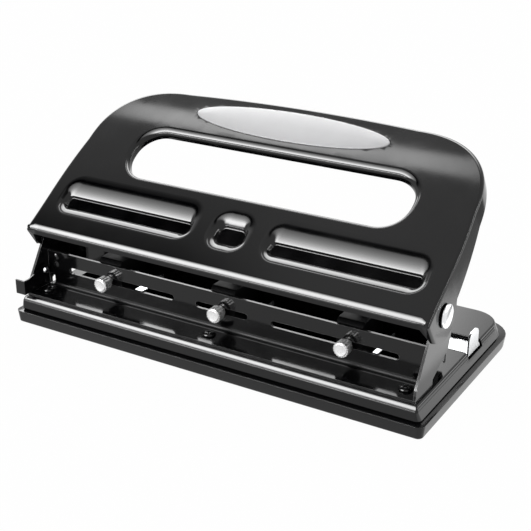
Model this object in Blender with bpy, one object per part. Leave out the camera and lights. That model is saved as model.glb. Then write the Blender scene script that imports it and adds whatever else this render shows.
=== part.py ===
"""Three-hole punch: a leaning lever over three adjustable punch heads on a long base.

Metres, +Z up. The origin is under the middle of the base, on the surface it stands on.
X runs along the machine, +Y points to the side where paper goes in.
"""

import math

import bmesh
import bpy
from mathutils import Matrix, Vector

# Clearances
gap = 0.0003
running_gap = 0.0004
overlap = 0.0005

# Points and steps of round features
corner_steps = 6
edge_steps = 3
hole_points = 16
pivot_hole_points = 20
bore_points = 24
rivet_points = 20
screw_points = 24
pin_points = 28
pivot_points = 32
cheek_points = 10
latch_points = 8
low_corner_points = 3
hand_points = 8
pocket_points = 5
smooth_angle = 35.0
bevel_angle = 40.0
least_miter = 0.5

# Sheet thicknesses
cover_sheet = 0.0016
frame_sheet = 0.0020
lever_sheet = 0.0016

# Chip tray, the lower layer
tray_half_length = 0.1823
tray_half_depth = 0.0920
tray_draft = 0.0014
tray_wall_top = 0.0104
tray_wall = 0.0030
tray_floor = 0.0020
tray_ledge_inset = 0.0012
tray_step_inset = 0.0046
tray_step_height = 0.0046
tray_step_top = tray_wall_top + tray_step_height
tray_front_radius = 0.0080
tray_back_radius = 0.0270
tray_foot_round = 0.0010

# Base cover, the upper layer
cover_end_inset = 0.0037
cover_front_inset = 0.0032
cover_back_inset = 0.0070
cover_half_length = tray_half_length - cover_end_inset
cover_front = cover_front_inset - tray_half_depth
cover_back = tray_half_depth - cover_back_inset
groove_height = 0.0022
cover_height = 0.0103
cover_bottom = tray_wall_top + groove_height
cover_top = cover_bottom + cover_height
cover_slope = 0.0026
cover_back_slope = 0.0045
cover_edge_round = 0.0022
cover_front_radius = 0.0060
cover_back_radius = 0.0250

# Frame
lever_end_inset = 0.0021
flange_clearance = 0.0019
lever_half_width = cover_half_length - lever_end_inset
frame_half_length = lever_half_width - lever_sheet - flange_clearance
foot_inset = 0.0044
foot_front = cover_front + foot_inset
foot_depth = 0.0251
plate_front = foot_front + foot_depth
plate_height = 0.0318
plate_top = cover_top + plate_height
bend_radius = 0.0030
cheek_top_radius = 0.0110
cheek_top_start = 200.0
cheek_foot_lean = 0.0009
cheek_foot_rise = 0.0106
cheek_front_y = foot_front + cheek_foot_lean
cheek_front_z = cover_top + cheek_foot_rise
cheek_upper_reach = 0.0328
cheek_upper_rise = 0.0301
cheek_back_upper_y = plate_front + cheek_upper_reach
cheek_back_upper_z = cover_top + cheek_upper_rise
cheek_lower_reach = 0.0288
cheek_lower_rise = 0.0186
cheek_back_lower_y = plate_front + cheek_lower_reach
cheek_back_lower_z = cover_top + cheek_lower_rise
cheek_heel_reach = 0.0033
cheek_heel_rise = 0.0061
cheek_back_heel_y = plate_front + cheek_heel_reach
cheek_back_heel_z = cover_top + cheek_heel_rise

# Punch heads
hole_spacing = 0.1080
head_width = 0.0220
head_depth = 0.0345
head_height = 0.0350
head_front = plate_front + frame_sheet + gap
head_back = head_front + head_depth
head_seat = cover_top + gap
head_top = head_seat + head_height
head_shoulder_drop = 0.0102
head_shoulder_height = head_top - head_shoulder_drop
head_shoulder_depth = 0.0060
throat_depth = 0.0185
throat_front = head_back - throat_depth
throat_height = 0.0048
jaw_lead = 0.0055
jaw_front = throat_front - jaw_lead
jaw_thickness = 0.0060
pin_setback = 0.0080
pin_y = throat_front + pin_setback
head_bevel = 0.0008

# Opening of the cover that the punch heads reach through
jaw_clearance = 0.0005
opening_clearance = 0.0020
opening_end_inset = 0.0110
opening_half_length = frame_half_length - opening_end_inset
opening_front = jaw_front - jaw_clearance
opening_back = head_back + opening_clearance

# Rear rail of the frame, above the paper and behind the punch heads
rail_end_inset = 0.0080
rail_half_length = frame_half_length - rail_end_inset
rail_paper_clearance = 0.0025
rail_front = opening_back
rail_back = rail_front + frame_sheet
rail_low = head_seat + throat_height + rail_paper_clearance
rail_ear_top_rise = 0.0115
rail_ear_reach = 0.0125
rail_ear_foot = 0.0030

# Thumbscrews
knob_radius = 0.0059
knob_length = 0.0086
knob_teeth = 24
knob_tooth_depth = 0.0005
knob_chamfer = 0.0007
collar_length = 0.0033
collar_radius = 0.0042
knob_front = plate_front - collar_length - knob_length
thread_radius = 0.0020
thread_depth = 0.0050
thread_end = head_front + thread_depth
thread_hole_radius = thread_radius + gap

# Slots of the front plate
slot_clearance = 0.0012
slot_height = 2 * thread_radius + slot_clearance
slot_rise = 0.0181
slot_centre_height = cover_top + slot_rise
slot_inner_reach = 0.0640
slot_end_inset = 0.0245
side_slot_inner = hole_spacing - slot_inner_reach
side_slot_outer = frame_half_length - slot_end_inset
middle_slot_reach = 0.0236
relief_radius = 0.0028
relief_height = 0.0095
relief_corner = 0.0025

# Punch pins and their springs
pin_radius = 0.0035
pin_bore_radius = pin_radius + gap
pin_tip_rise = 0.0010
pin_tip_height = head_seat + throat_height + pin_tip_rise
pin_cap_radius = 0.0062
pin_cap_thickness = 0.0028
pin_cap_rise = 0.0170
pin_cap_top = head_top + pin_cap_rise
pin_cap_chamfer = 0.0009
pin_spring_wire = 0.00045
pin_spring_clearance = 0.00095
pin_spring_radius = pin_radius + pin_spring_wire + pin_spring_clearance
pin_spring_turns = 6
turn_points = 10

# Pivot
pivot_setback = 0.0103
pivot_rise = 0.0213
pivot_y = plate_front + pivot_setback
pivot_z = plate_top + pivot_rise
pivot_radius = 0.0040
pivot_head_radius = 0.0090
pivot_head_thickness = 0.0032
pivot_head_chamfer = 0.0008
pivot_inner_reach = 0.0090
cheek_hole_radius = pivot_radius + running_gap

# Layout of the lever's plate, from its low edge up: pockets, handhold slot, oval grip
pocket_low_margin = 0.0215
pocket_half_height = 0.0165
pocket_centre = pocket_low_margin + pocket_half_height
hand_low_margin = 0.0105
hand_half_height = 0.0230
hand_centre = pocket_centre + pocket_half_height + hand_low_margin + hand_half_height
grip_low_margin = 0.0147
grip_half_height = 0.0155
grip_centre = hand_centre + hand_half_height + grip_low_margin + grip_half_height
grip_top_margin = 0.0078

# Lever, in its own plane: along the plate from its low edge, and depth behind its face
lever_angle = math.radians(34.0)
lever_overhang = 0.0158
lever_rise = 0.0267
lever_low_y = plate_front - lever_overhang
lever_low_z = plate_top + lever_rise
lever_length = grip_centre + grip_half_height + grip_top_margin
lever_top_bow = 0.0035
lever_corner_height = 0.0695
lever_corner_start = lever_length - lever_corner_height
lever_corner_width = 0.0700
lever_corner_power = 2.3
lever_low_edge = -0.0047
lever_low_corner = 0.0030
lever_front_depth = 0.0197
lever_front_slope = 1.4
lever_side_taper = 0.0027
lever_side_taper_start = 0.0450
lever_side_round = 0.0030
lever_top_round = 0.0040
lever_lip = 0.0055
lip_corner_share = 0.4
lip_height_share = 0.75
lever_top_lip = 0.0130
lever_ear_radius = 0.0200
lever_taper_depth = 0.0262
lever_taper_start = 0.0410
lever_taper_overrun = 0.0250
lever_taper_end = lever_corner_start + lever_taper_overrun
ear_points = 14
round_steps = 4
top_corner_points = 16
side_points = 7
top_points = 8

# Handhold slot of the lever
hand_side_margin = 0.0530
hand_half_length = lever_half_width - hand_side_margin
hand_corner = 0.0215
hand_rim_round = 0.0045
hand_rim_depth = 0.0075

# Pressed pockets of the lever
pocket_side_margin = 0.0135
pocket_inner_end = 0.0294
pocket_outer_end = lever_half_width - pocket_side_margin
pocket_centre_x = (pocket_inner_end + pocket_outer_end) / 2
pocket_half_length = (pocket_outer_end - pocket_inner_end) / 2
pocket_corner = 0.0140
pocket_depth = 0.0070
pocket_slope = 0.0075
small_pocket_half_length = 0.0180
small_pocket_half_height = 0.0160
small_pocket_corner = 0.0120
small_pocket_depth = 0.0060
small_pocket_slope = 0.0060
pocket_steps = 4
least_corner = 0.0008

# Oval grip inlay
grip_side_margin = 0.0885
grip_half_length = lever_half_width - grip_side_margin
grip_recess = 0.0012
grip_recess_slope = 0.0006
grip_proud = 0.0006
grip_edge = 0.0003
grip_points = 40

# Press bar under the lever
bar_end_inset = 0.0090
bar_half_length = frame_half_length - bar_end_inset
bar_web = 0.0024
bar_bead_radius = 0.0040
bar_bead_points = 10

# Lever return springs
lever_spring_wire = 0.0006
lever_spring_clearance = 0.0007
lever_spring_radius = pivot_radius + lever_spring_wire + lever_spring_clearance
lever_spring_turns = 3
lever_spring_length = 0.0060
lever_spring_leg = 0.0090

# Trough across the base, and the paper guide that slides in it
trough_setback = 0.0245
trough_width = 0.0270
trough_depth = 0.0040
trough_sheet = 0.0010
trough_front = opening_back + trough_setback
trough_back = trough_front + trough_width
trough_floor = cover_top - trough_depth
guide_clearance = 0.0010
guide_width = 0.0225
guide_length = 0.0985
guide_thickness = 0.0012
guide_end_inset = 0.0041
guide_travel = 0.0160
guide_front = trough_front + trough_sheet + guide_clearance
guide_back = guide_front + guide_width
guide_tab_x = cover_half_length - guide_end_inset
guide_inner = guide_tab_x - guide_length
trough_inner = guide_inner - guide_travel
guide_tab_step = 0.0040
guide_tab_height = 0.0145
guide_tab_back = guide_back - guide_tab_step
guide_tab_top = cover_top + guide_tab_height
guide_tab_round = 0.0060

# Foot screws
screw_left_inset = 0.0110
screw_right_inset = 0.0130
screw_middle_x = -0.0030
foot_screw_x = (screw_left_inset - frame_half_length, screw_middle_x, frame_half_length - screw_right_inset)
screw_setback = 0.0124
foot_screw_y = foot_front + screw_setback
foot_screw_radius = 0.0052
foot_screw_height = 0.0022
foot_screw_shank = 0.0020
foot_screw_reach = 0.0044
foot_screw_end = cover_top - foot_screw_reach
screw_hole_radius = foot_screw_shank + running_gap
screw_slot_width = 0.0012
screw_slot_depth = 0.0009
screw_side_height = 0.0009
dome_steps = 3
dome_sweep = 65.0

# Rivet of the front plate
plate_rivet_end_inset = 0.0105
plate_rivet_drop = 0.0047
plate_rivet_x = plate_rivet_end_inset - frame_half_length
plate_rivet_height = plate_top - plate_rivet_drop
plate_rivet_radius = 0.0036
plate_rivet_dome = 0.0014

# Latch and its rivet
latch_rivet_lead = 0.0062
latch_rivet_rise = 0.0163
latch_rivet_y = plate_front - latch_rivet_lead
latch_rivet_z = cover_top + latch_rivet_rise
latch_rivet_radius = 0.0030
latch_rivet_dome = 0.0016
latch_rivet_shank = 0.0016
latch_hole_radius = latch_rivet_shank + running_gap
latch_sheet = 0.0015
latch_ring_radius = 0.0060
latch_ring_start = 60.0
latch_ring_end = 120.0
latch_waist_reach = 0.0115
latch_waist_rise = 0.0016
latch_nose_reach = 0.0205
latch_tip_reach = 0.0265
latch_heel_reach = 0.0135
latch_nose_drop = 0.0006
latch_nose_height = 0.0122
latch_back_reach = 0.0055
latch_waist_y = latch_rivet_y - latch_waist_reach
latch_waist_z = latch_rivet_z + latch_waist_rise
latch_nose_y = latch_rivet_y - latch_nose_reach
latch_tip_y = latch_rivet_y - latch_tip_reach
latch_heel_y = latch_rivet_y - latch_heel_reach
latch_nose_top = latch_rivet_z - latch_nose_drop
latch_nose_low = latch_nose_top - latch_nose_height
latch_back_y = latch_rivet_y + latch_back_reach
latch_finger_reach = 0.0058
latch_finger_x = -frame_half_length - latch_finger_reach


# Scene helpers

def clear_scene():
    """Remove every object of the scene."""
    for item in list(bpy.data.objects):
        bpy.data.objects.remove(item)


def make_material(name, colour, roughness, metallic):
    """A Principled material for one finish."""
    material = bpy.data.materials.new(name)
    material.use_nodes = True
    shader = material.node_tree.nodes["Principled BSDF"]
    shader.inputs["Base Color"].default_value = (*colour, 1.0)
    shader.inputs["Roughness"].default_value = roughness
    shader.inputs["Metallic"].default_value = metallic
    return material


def add_object(name, mesh, material, origin=(0.0, 0.0, 0.0)):
    """Link a mesh made in world places as an object whose origin is where asked."""
    mesh.transform(Matrix.Translation(-Vector(origin)))
    mesh.materials.append(material)
    item = bpy.data.objects.new(name, mesh)
    item.location = origin
    bpy.context.scene.collection.objects.link(item)
    return item


def finish_mesh(name, work, smooth=True):
    """Turn a bmesh into a mesh with outward faces."""
    bmesh.ops.recalc_face_normals(work, faces=work.faces)
    mesh = bpy.data.meshes.new(name)
    work.to_mesh(mesh)
    work.free()
    if smooth:
        mesh.shade_smooth()
        mesh.set_sharp_from_angle(angle=math.radians(smooth_angle))
    return mesh


def cut(item, cutters, operation="DIFFERENCE"):
    """Cut or join other solids with an exact Boolean for each."""
    for number, cutter in enumerate(cutters):
        step = item.modifiers.new("%s_%d" % (operation.lower(), number), "BOOLEAN")
        step.operation = operation
        step.solver = "EXACT"
        step.object = cutter
        cutter.hide_render = True
        cutter.display_type = "WIRE"


def soften(item, width, segments=2):
    """Round the sharp edges of a plain solid."""
    bevel = item.modifiers.new("edges", "BEVEL")
    bevel.width = width
    bevel.segments = segments
    bevel.limit_method = "ANGLE"
    bevel.angle_limit = math.radians(bevel_angle)


# Outline helpers

def arc(centre, radius, start, end, steps):
    """Points of an arc between two angles in degrees."""
    points = []
    for step in range(steps + 1):
        angle = math.radians(start + (end - start) * step / steps)
        points.append((centre[0] + radius * math.cos(angle), centre[1] + radius * math.sin(angle)))
    return points


def rounded_box(left, right, front, back, front_radius, back_radius, steps=corner_steps):
    """Outline of a box seen from above, turning anticlockwise from the front left corner."""
    return (
        arc((left + front_radius, front + front_radius), front_radius, 180.0, 270.0, steps)
        + arc((right - front_radius, front + front_radius), front_radius, 270.0, 360.0, steps)
        + arc((right - back_radius, back - back_radius), back_radius, 0.0, 90.0, steps)
        + arc((left + back_radius, back - back_radius), back_radius, 90.0, 180.0, steps)
    )


def slot_outline(left, right, centre, height, steps=corner_steps):
    """Outline of a slot with round ends."""
    radius = height / 2
    return arc((right - radius, centre), radius, -90.0, 90.0, steps) + arc(
        (left + radius, centre), radius, 90.0, 270.0, steps
    )


def circle(centre, radius, steps):
    """Closed ring of points."""
    return arc(centre, radius, 0.0, 360.0, steps)[:-1]


def inward_normals(points):
    """Inward direction at each point of an anticlockwise outline."""
    result = []
    count = len(points)
    for index, point in enumerate(points):
        before = Vector(points[index - 1])
        after = Vector(points[(index + 1) % count])
        here = Vector(point)
        first = (here - before).normalized()
        second = (after - here).normalized()
        along = (first + second).normalized()
        miter = max(along.dot(first), least_miter)
        result.append(Vector((-along.y, along.x)) / miter)
    return result


def inset(points, amounts):
    """Move an anticlockwise outline inwards by one amount or by one for each point."""
    normals = inward_normals(points)
    if isinstance(amounts, float):
        amounts = [amounts] * len(points)
    return [
        (point[0] + normal.x * amount, point[1] + normal.y * amount)
        for point, normal, amount in zip(points, normals, amounts)
    ]


# Solid helpers

def add_ring(work, points, height, place):
    """Vertices of an outline, placed by a function of its two values and a height."""
    return [work.verts.new(place(point[0], point[1], height)) for point in points]


def bridge(work, lower, upper):
    """Quads between two rings of equal count."""
    count = len(lower)
    for index in range(count):
        after = (index + 1) % count
        work.faces.new((lower[index], lower[after], upper[after], upper[index]))


def along_z(first, second, height):
    return (first, second, height)


def along_x(first, second, height):
    return (height, first, second)


def along_y(first, second, height):
    return (first, height, second)


def prism(name, outline, start, end, place):
    """Mesh of an outline pushed from one height to another."""
    work = bmesh.new()
    lower = add_ring(work, outline, start, place)
    upper = add_ring(work, outline, end, place)
    bridge(work, lower, upper)
    work.faces.new(lower)
    work.faces.new(upper)
    return finish_mesh(name, work)


def stack(name, levels, place):
    """Mesh of rings of equal count at given heights, closed at both ends."""
    work = bmesh.new()
    rings = [add_ring(work, outline, height, place) for outline, height in levels]
    for lower, upper in zip(rings, rings[1:]):
        bridge(work, lower, upper)
    work.faces.new(rings[0])
    work.faces.new(rings[-1])
    return finish_mesh(name, work)


def turned(name, profile, centre, place, steps):
    """Solid of revolution from pairs of radius and height."""
    levels = [(circle(centre, radius, steps), height) for radius, height in profile]
    return stack(name, levels, place)


def dome(radius, base, rise):
    """Profile of a low dome from its rim to its nearly flat top."""
    points = []
    sweep = math.radians(dome_sweep)
    for step in range(dome_steps + 1):
        angle = sweep * step / dome_steps
        points.append((radius * math.cos(angle), base + rise * math.sin(angle) / math.sin(sweep)))
    return points


def guide_object(name, mesh):
    """A helper solid for a Boolean, which isn't a sub-part."""
    item = bpy.data.objects.new(name, mesh)
    bpy.context.scene.collection.objects.link(item)
    item.hide_render = True
    item.display_type = "WIRE"
    return item


def box_outline(left, right, low, high):
    return [(left, low), (right, low), (right, high), (left, high)]


# Base

def build_chip_tray(material):
    """Open tray whose stepped rim carries the cover and keeps it in place."""
    foot = rounded_box(
        -tray_half_length + tray_draft,
        tray_half_length - tray_draft,
        -tray_half_depth + tray_draft,
        tray_half_depth - tray_draft,
        tray_front_radius,
        tray_back_radius,
    )
    rim = rounded_box(
        -tray_half_length,
        tray_half_length,
        -tray_half_depth,
        tray_half_depth,
        tray_front_radius,
        tray_back_radius,
    )
    ledge = cover_outline(0.0, tray_ledge_inset)
    ledge_top = cover_bottom - gap
    step = cover_outline(0.0, tray_step_inset)
    inner = inset(step, tray_wall)
    work = bmesh.new()
    levels = [
        (inset(foot, tray_foot_round), 0.0),
        (foot, tray_foot_round),
        (rim, tray_wall_top - tray_foot_round),
        (inset(rim, tray_foot_round), tray_wall_top),
        (ledge, tray_wall_top),
        (ledge, ledge_top),
        (step, ledge_top),
        (step, tray_step_top),
        (inner, tray_step_top),
        (inner, tray_floor),
    ]
    rings = [add_ring(work, outline, height, along_z) for outline, height in levels]
    for lower, upper in zip(rings, rings[1:]):
        bridge(work, lower, upper)
    work.faces.new(rings[0])
    work.faces.new(rings[-1])
    return add_object("chip_tray", finish_mesh("chip_tray", work), material)


def cover_outline(height_share, shrink):
    """Outline of the cover between its foot (0) and its top edge (1)."""
    slope = cover_slope * height_share
    back_slope = cover_back_slope * height_share
    outline = rounded_box(
        -cover_half_length + slope,
        cover_half_length - slope,
        cover_front + slope,
        cover_back - back_slope,
        cover_front_radius,
        cover_back_radius,
    )
    return inset(outline, shrink) if shrink else outline


def build_base_cover(material):
    """Pressed steel shell, open below, with the heads' opening and the guide trough's gap."""
    work = bmesh.new()
    above = cover_top + cover_sheet
    levels = [(cover_outline(0.0, 0.0), cover_bottom)]
    for step in range(edge_steps + 1):
        turn = math.radians(90.0) * step / edge_steps
        shrink = cover_edge_round * (1.0 - math.cos(turn))
        rise = cover_edge_round * math.sin(turn)
        levels.append((cover_outline(1.0, shrink), cover_top - cover_edge_round + rise))
    levels_inner = [
        (cover_outline(1.0, cover_sheet + cover_edge_round), cover_top - cover_sheet),
        (cover_outline(1.0, cover_sheet), cover_top - cover_sheet - cover_edge_round),
        (cover_outline(0.0, cover_sheet), cover_bottom),
    ]
    rings = [add_ring(work, outline, height, along_z) for outline, height in levels]
    inner = [add_ring(work, outline, height, along_z) for outline, height in levels_inner]
    for lower, upper in zip(rings, rings[1:]):
        bridge(work, lower, upper)
    for lower, upper in zip(inner, inner[1:]):
        bridge(work, lower, upper)
    work.faces.new(rings[-1])
    work.faces.new(inner[0])
    bridge(work, inner[-1], rings[0])
    cover = add_object("base_cover", finish_mesh("base_cover", work), material)
    opening = rounded_box(
        -opening_half_length,
        opening_half_length,
        opening_front,
        opening_back,
        relief_radius,
        relief_radius,
    )
    through = prism("heads_opening", opening, cover_bottom, above, along_z)
    trough_low = trough_floor - trough_sheet - gap
    trough = prism(
        "trough_gap",
        box_outline(trough_front - gap, trough_back + gap, trough_low, above),
        trough_inner - gap,
        cover_half_length + cover_sheet,
        along_x,
    )
    cutters = [guide_object("heads_opening_cutter", through), guide_object("trough_gap_cutter", trough)]
    for number, x in enumerate(foot_screw_x):
        ring = circle((x, foot_screw_y), screw_hole_radius, hole_points)
        hole = prism("screw_hole", ring, cover_bottom, above, along_z)
        cutters.append(guide_object("cover_screw_hole_%d" % number, hole))
    cut(cover, cutters)
    return cover


def build_guide_trough(material):
    """Folded channel that the paper guide slides in."""
    top = cover_top
    outer = trough_floor - trough_sheet
    profile = [
        (trough_front, top),
        (trough_front, outer),
        (trough_back, outer),
        (trough_back, top),
        (trough_back - trough_sheet, top),
        (trough_back - trough_sheet, trough_floor),
        (trough_front + trough_sheet, trough_floor),
        (trough_front + trough_sheet, top),
    ]
    end = cover_half_length - cover_slope - cover_edge_round
    mesh = prism("guide_trough", profile, trough_inner, end, along_x)
    return add_object("guide_trough", mesh, material)


def build_paper_guide(material):
    """Flat bar with an upright end tab, bent from one strip."""
    low = trough_floor + running_gap
    high = low + guide_thickness
    bar = prism("bar", box_outline(guide_front, guide_back, low, high), guide_inner, guide_tab_x, along_x)
    outline = [(guide_front, low), (guide_back, low), (guide_back, high)]
    outline.append((guide_tab_back, high + guide_back - guide_tab_back))
    round_height = guide_tab_top - guide_tab_round
    back_centre = (guide_tab_back - guide_tab_round, round_height)
    front_centre = (guide_front + guide_tab_round, round_height)
    outline += arc(back_centre, guide_tab_round, 0.0, 90.0, corner_steps)
    outline += arc(front_centre, guide_tab_round, 90.0, 180.0, corner_steps)
    tab = prism("tab", outline, guide_tab_x - overlap, guide_tab_x + guide_thickness, along_x)
    origin = (guide_tab_x, (guide_front + guide_tab_back) / 2, low)
    guide = add_object("paper_guide", bar, material, origin)
    cut(guide, [guide_object("guide_tab", tab)], "UNION")
    return guide


# Frame

def cheek_outline():
    """Side view of a cheek: a foot, a leaning web and a round top about the pivot."""
    foot = cover_top + gap
    top = arc((pivot_y, pivot_z), cheek_top_radius, cheek_top_start, 0.0, cheek_points)
    front = [(foot_front, foot), (cheek_front_y, cheek_front_z)]
    back = [
        (cheek_back_upper_y, cheek_back_upper_z),
        (cheek_back_lower_y, cheek_back_lower_z),
        (cheek_back_heel_y, cheek_back_heel_z),
        (cheek_back_heel_y, foot),
    ]
    return list(reversed(front + top + back))


def rail_ear_outline(side):
    """Plan view of the strip that joins the rear rail to a cheek, out of sight behind it."""
    inner = frame_half_length - frame_sheet
    outline = [
        (rail_half_length - frame_sheet, rail_front),
        (inner + overlap, rail_front - rail_ear_reach),
        (inner + overlap, rail_front - rail_ear_reach + rail_ear_foot),
        (rail_half_length, rail_back),
        (rail_half_length - frame_sheet, rail_back),
    ]
    placed = [(side * x, y) for x, y in outline]
    return placed if side > 0 else list(reversed(placed))


def rail_ear_heights():
    """Low and high ends of that strip. It meets the cheek where the cheek's back edge allows."""
    return (rail_low, cheek_back_lower_z + rail_ear_top_rise)


def build_frame(material):
    """Foot plate, slotted front plate, two cheeks and a rear rail, bent and welded from one sheet."""
    foot = cover_top + gap
    foot_top = foot + frame_sheet
    plate_back = plate_front + frame_sheet
    outer = bend_radius + frame_sheet
    profile = [(foot_front, foot)]
    profile += arc((plate_back - outer, foot + outer), outer, -90.0, 0.0, corner_steps)
    profile += [(plate_back, plate_top), (plate_front, plate_top)]
    profile += arc((plate_back - outer, foot + outer), bend_radius, 0.0, -90.0, corner_steps)
    profile += [(foot_front, foot_top)]
    mesh = prism("frame", profile, -frame_half_length, frame_half_length, along_x)
    frame = add_object("frame", mesh, material)
    cheeks = []
    for name, side in (("left", -1.0), ("right", 1.0)):
        ends = sorted((side * frame_half_length, side * (frame_half_length - frame_sheet)))
        mesh = prism("cheek", cheek_outline(), ends[0], ends[1], along_x)
        cheeks.append(guide_object("cheek_" + name, mesh))
    box = box_outline(-rail_half_length, rail_half_length, rail_front, rail_back)
    cheeks.append(guide_object("rail", prism("rail", box, rail_low, plate_top, along_z)))
    for name, side in (("left", -1.0), ("right", 1.0)):
        mesh = prism("rail_ear", rail_ear_outline(side), *rail_ear_heights(), along_z)
        cheeks.append(guide_object("rail_ear_" + name, mesh))
    cut(frame, cheeks, "UNION")
    front = plate_front - frame_sheet
    back = plate_back + frame_sheet
    below = foot - frame_sheet
    above = foot_top + frame_sheet
    cutters = []
    slots = (
        (-side_slot_outer, -side_slot_inner),
        (-middle_slot_reach, middle_slot_reach),
        (side_slot_inner, side_slot_outer),
    )
    for number, (left, right) in enumerate(slots):
        ring = slot_outline(left, right, slot_centre_height, slot_height)
        cutters.append(guide_object("plate_slot_%d" % number, prism("slot", ring, front, back, along_y)))
    for number, x in enumerate(foot_screw_x):
        ring = circle((x, foot_screw_y), screw_hole_radius, hole_points)
        cutters.append(guide_object("foot_hole_%d" % number, prism("hole", ring, below, above, along_z)))
    for name, side in (("left", -1.0), ("right", 1.0)):
        ends = sorted((side * (frame_half_length - 2 * frame_sheet), side * (frame_half_length + frame_sheet)))
        ring = circle((pivot_y, pivot_z), cheek_hole_radius, pivot_hole_points)
        mesh = prism("hole", ring, ends[0], ends[1], along_x)
        cutters.append(guide_object("pivot_hole_" + name, mesh))
    ring = circle((latch_rivet_y, latch_rivet_z), latch_hole_radius, hole_points)
    outside = -frame_half_length - frame_sheet
    inside = -frame_half_length + 2 * frame_sheet
    cutters.append(guide_object("latch_rivet_hole", prism("hole", ring, outside, inside, along_x)))
    relief_left = -frame_half_length + frame_sheet + gap
    relief_right = relief_left + 2 * relief_radius
    relief_top = foot_top + relief_height
    relief = rounded_box(relief_left, relief_right, foot_top, relief_top, relief_corner, relief_corner)
    cutters.append(guide_object("corner_relief", prism("relief", relief, front, back, along_y)))
    ring = circle((plate_rivet_x, plate_rivet_height), latch_hole_radius, hole_points)
    cutters.append(guide_object("plate_rivet_hole", prism("hole", ring, front, back, along_y)))
    cut(frame, cutters)
    return frame


def build_foot_screws(material):
    """Pan-head screws that hold the frame's foot to the base."""
    seat = cover_top + gap + frame_sheet + gap
    for name, x in zip(("left", "middle", "right"), foot_screw_x):
        profile = [(foot_screw_shank, foot_screw_end), (foot_screw_shank, seat), (foot_screw_radius, seat)]
        profile += dome(foot_screw_radius, seat + screw_side_height, foot_screw_height - screw_side_height)
        mesh = turned("foot_screw", profile, (x, foot_screw_y), along_z, screw_points)
        screw = add_object("foot_screw_" + name, mesh, material, (x, foot_screw_y, seat))
        top = seat + foot_screw_height
        slot = prism(
            "driver_slot",
            box_outline(
                foot_screw_y - screw_slot_width / 2,
                foot_screw_y + screw_slot_width / 2,
                top - screw_slot_depth,
                top + screw_slot_depth,
            ),
            x - foot_screw_radius,
            x + foot_screw_radius,
            along_x,
        )
        cut(screw, [guide_object("driver_slot_" + name, slot)])


def build_plate_rivet(material):
    """Small domed rivet at the left end of the front plate."""
    face = plate_front - gap
    profile = [(latch_rivet_shank, plate_front + frame_sheet), (latch_rivet_shank, face)]
    profile += dome(plate_rivet_radius, face, -plate_rivet_dome)
    mesh = turned("plate_rivet", profile, (plate_rivet_x, plate_rivet_height), along_y, rivet_points)
    add_object("plate_rivet", mesh, material, (plate_rivet_x, plate_front, plate_rivet_height))


def build_latch(material):
    """Hook plate inside the left cheek, with a finger end that reaches past the front."""
    inside = -frame_half_length + frame_sheet
    outer = inside + gap
    inner = outer + latch_sheet
    centre = (latch_rivet_y, latch_rivet_z)
    ring = arc(centre, latch_ring_radius, latch_ring_start, latch_ring_end, latch_points)
    outline = ring + [
        (latch_waist_y, latch_waist_z),
        (latch_nose_y, latch_nose_top),
        (latch_tip_y, latch_nose_top),
        (latch_tip_y, latch_nose_low),
        (latch_heel_y, latch_nose_low),
        (latch_back_y, latch_nose_top - latch_sheet),
    ]
    mesh = prism("latch", outline, outer, inner, along_x)
    latch = add_object("latch", mesh, material, (outer, latch_rivet_y, latch_rivet_z))
    hole = prism("hole", circle(centre, latch_hole_radius, hole_points), outer - gap, inner + gap, along_x)
    finger = prism(
        "finger",
        box_outline(latch_tip_y, latch_tip_y + latch_sheet, latch_nose_low, latch_nose_top),
        latch_finger_x,
        inner,
        along_x,
    )
    cut(latch, [guide_object("latch_finger", finger)], "UNION")
    cut(latch, [guide_object("latch_hole", hole)])
    return latch


def build_latch_rivet(material):
    """Shouldered rivet that the latch turns on."""
    face = -frame_half_length + frame_sheet + gap + latch_sheet + gap
    profile = [(latch_rivet_shank, -frame_half_length), (latch_rivet_shank, face)]
    profile += dome(latch_rivet_radius, face, latch_rivet_dome)
    mesh = turned("latch_rivet", profile, (latch_rivet_y, latch_rivet_z), along_x, rivet_points)
    add_object("latch_rivet", mesh, material, (face, latch_rivet_y, latch_rivet_z))


# Punch heads

def build_head(name, x, material):
    """C-shaped punch block: pin guide above the paper throat, die below it."""
    front = head_front
    throat_high = head_seat + throat_height
    jaw_low = head_seat - jaw_thickness
    profile = [
        (front, head_seat),
        (jaw_front, head_seat),
        (jaw_front, jaw_low),
        (head_back, jaw_low),
        (head_back, head_seat),
        (throat_front, head_seat),
        (throat_front, throat_high),
        (head_back, throat_high),
        (head_back, head_shoulder_height),
        (head_back - head_shoulder_depth, head_top),
        (front + head_shoulder_depth / 2, head_top),
        (front, head_top - head_shoulder_depth / 2),
    ]
    half = head_width / 2
    mesh = prism("punch_head", profile, x - half, x + half, along_x)
    head = add_object("punch_head_" + name, mesh, material, (x, front, slot_centre_height))
    soften(head, head_bevel)
    bore_ring = circle((x, pin_y), pin_bore_radius, bore_points)
    bore = prism("bore", bore_ring, jaw_low - gap, head_top + gap, along_z)
    thread_ring = circle((x, slot_centre_height), thread_hole_radius, hole_points)
    thread = prism("thread", thread_ring, front - gap, thread_end + gap, along_y)
    cut(head, [guide_object("pin_bore_" + name, bore), guide_object("thread_hole_" + name, thread)])
    return head


def build_punch_pin(name, x, material):
    """Hardened pin with a cap that the press bar pushes."""
    cap_low = pin_cap_top - pin_cap_thickness
    profile = (
        (pin_radius, pin_tip_height),
        (pin_radius, cap_low),
        (pin_cap_radius, cap_low),
        (pin_cap_radius, pin_cap_top - pin_cap_chamfer),
        (pin_cap_radius - pin_cap_chamfer, pin_cap_top),
    )
    mesh = turned("punch_pin", profile, (x, pin_y), along_z, pin_points)
    add_object("punch_pin_" + name, mesh, material, (x, pin_y, pin_tip_height))


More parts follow.
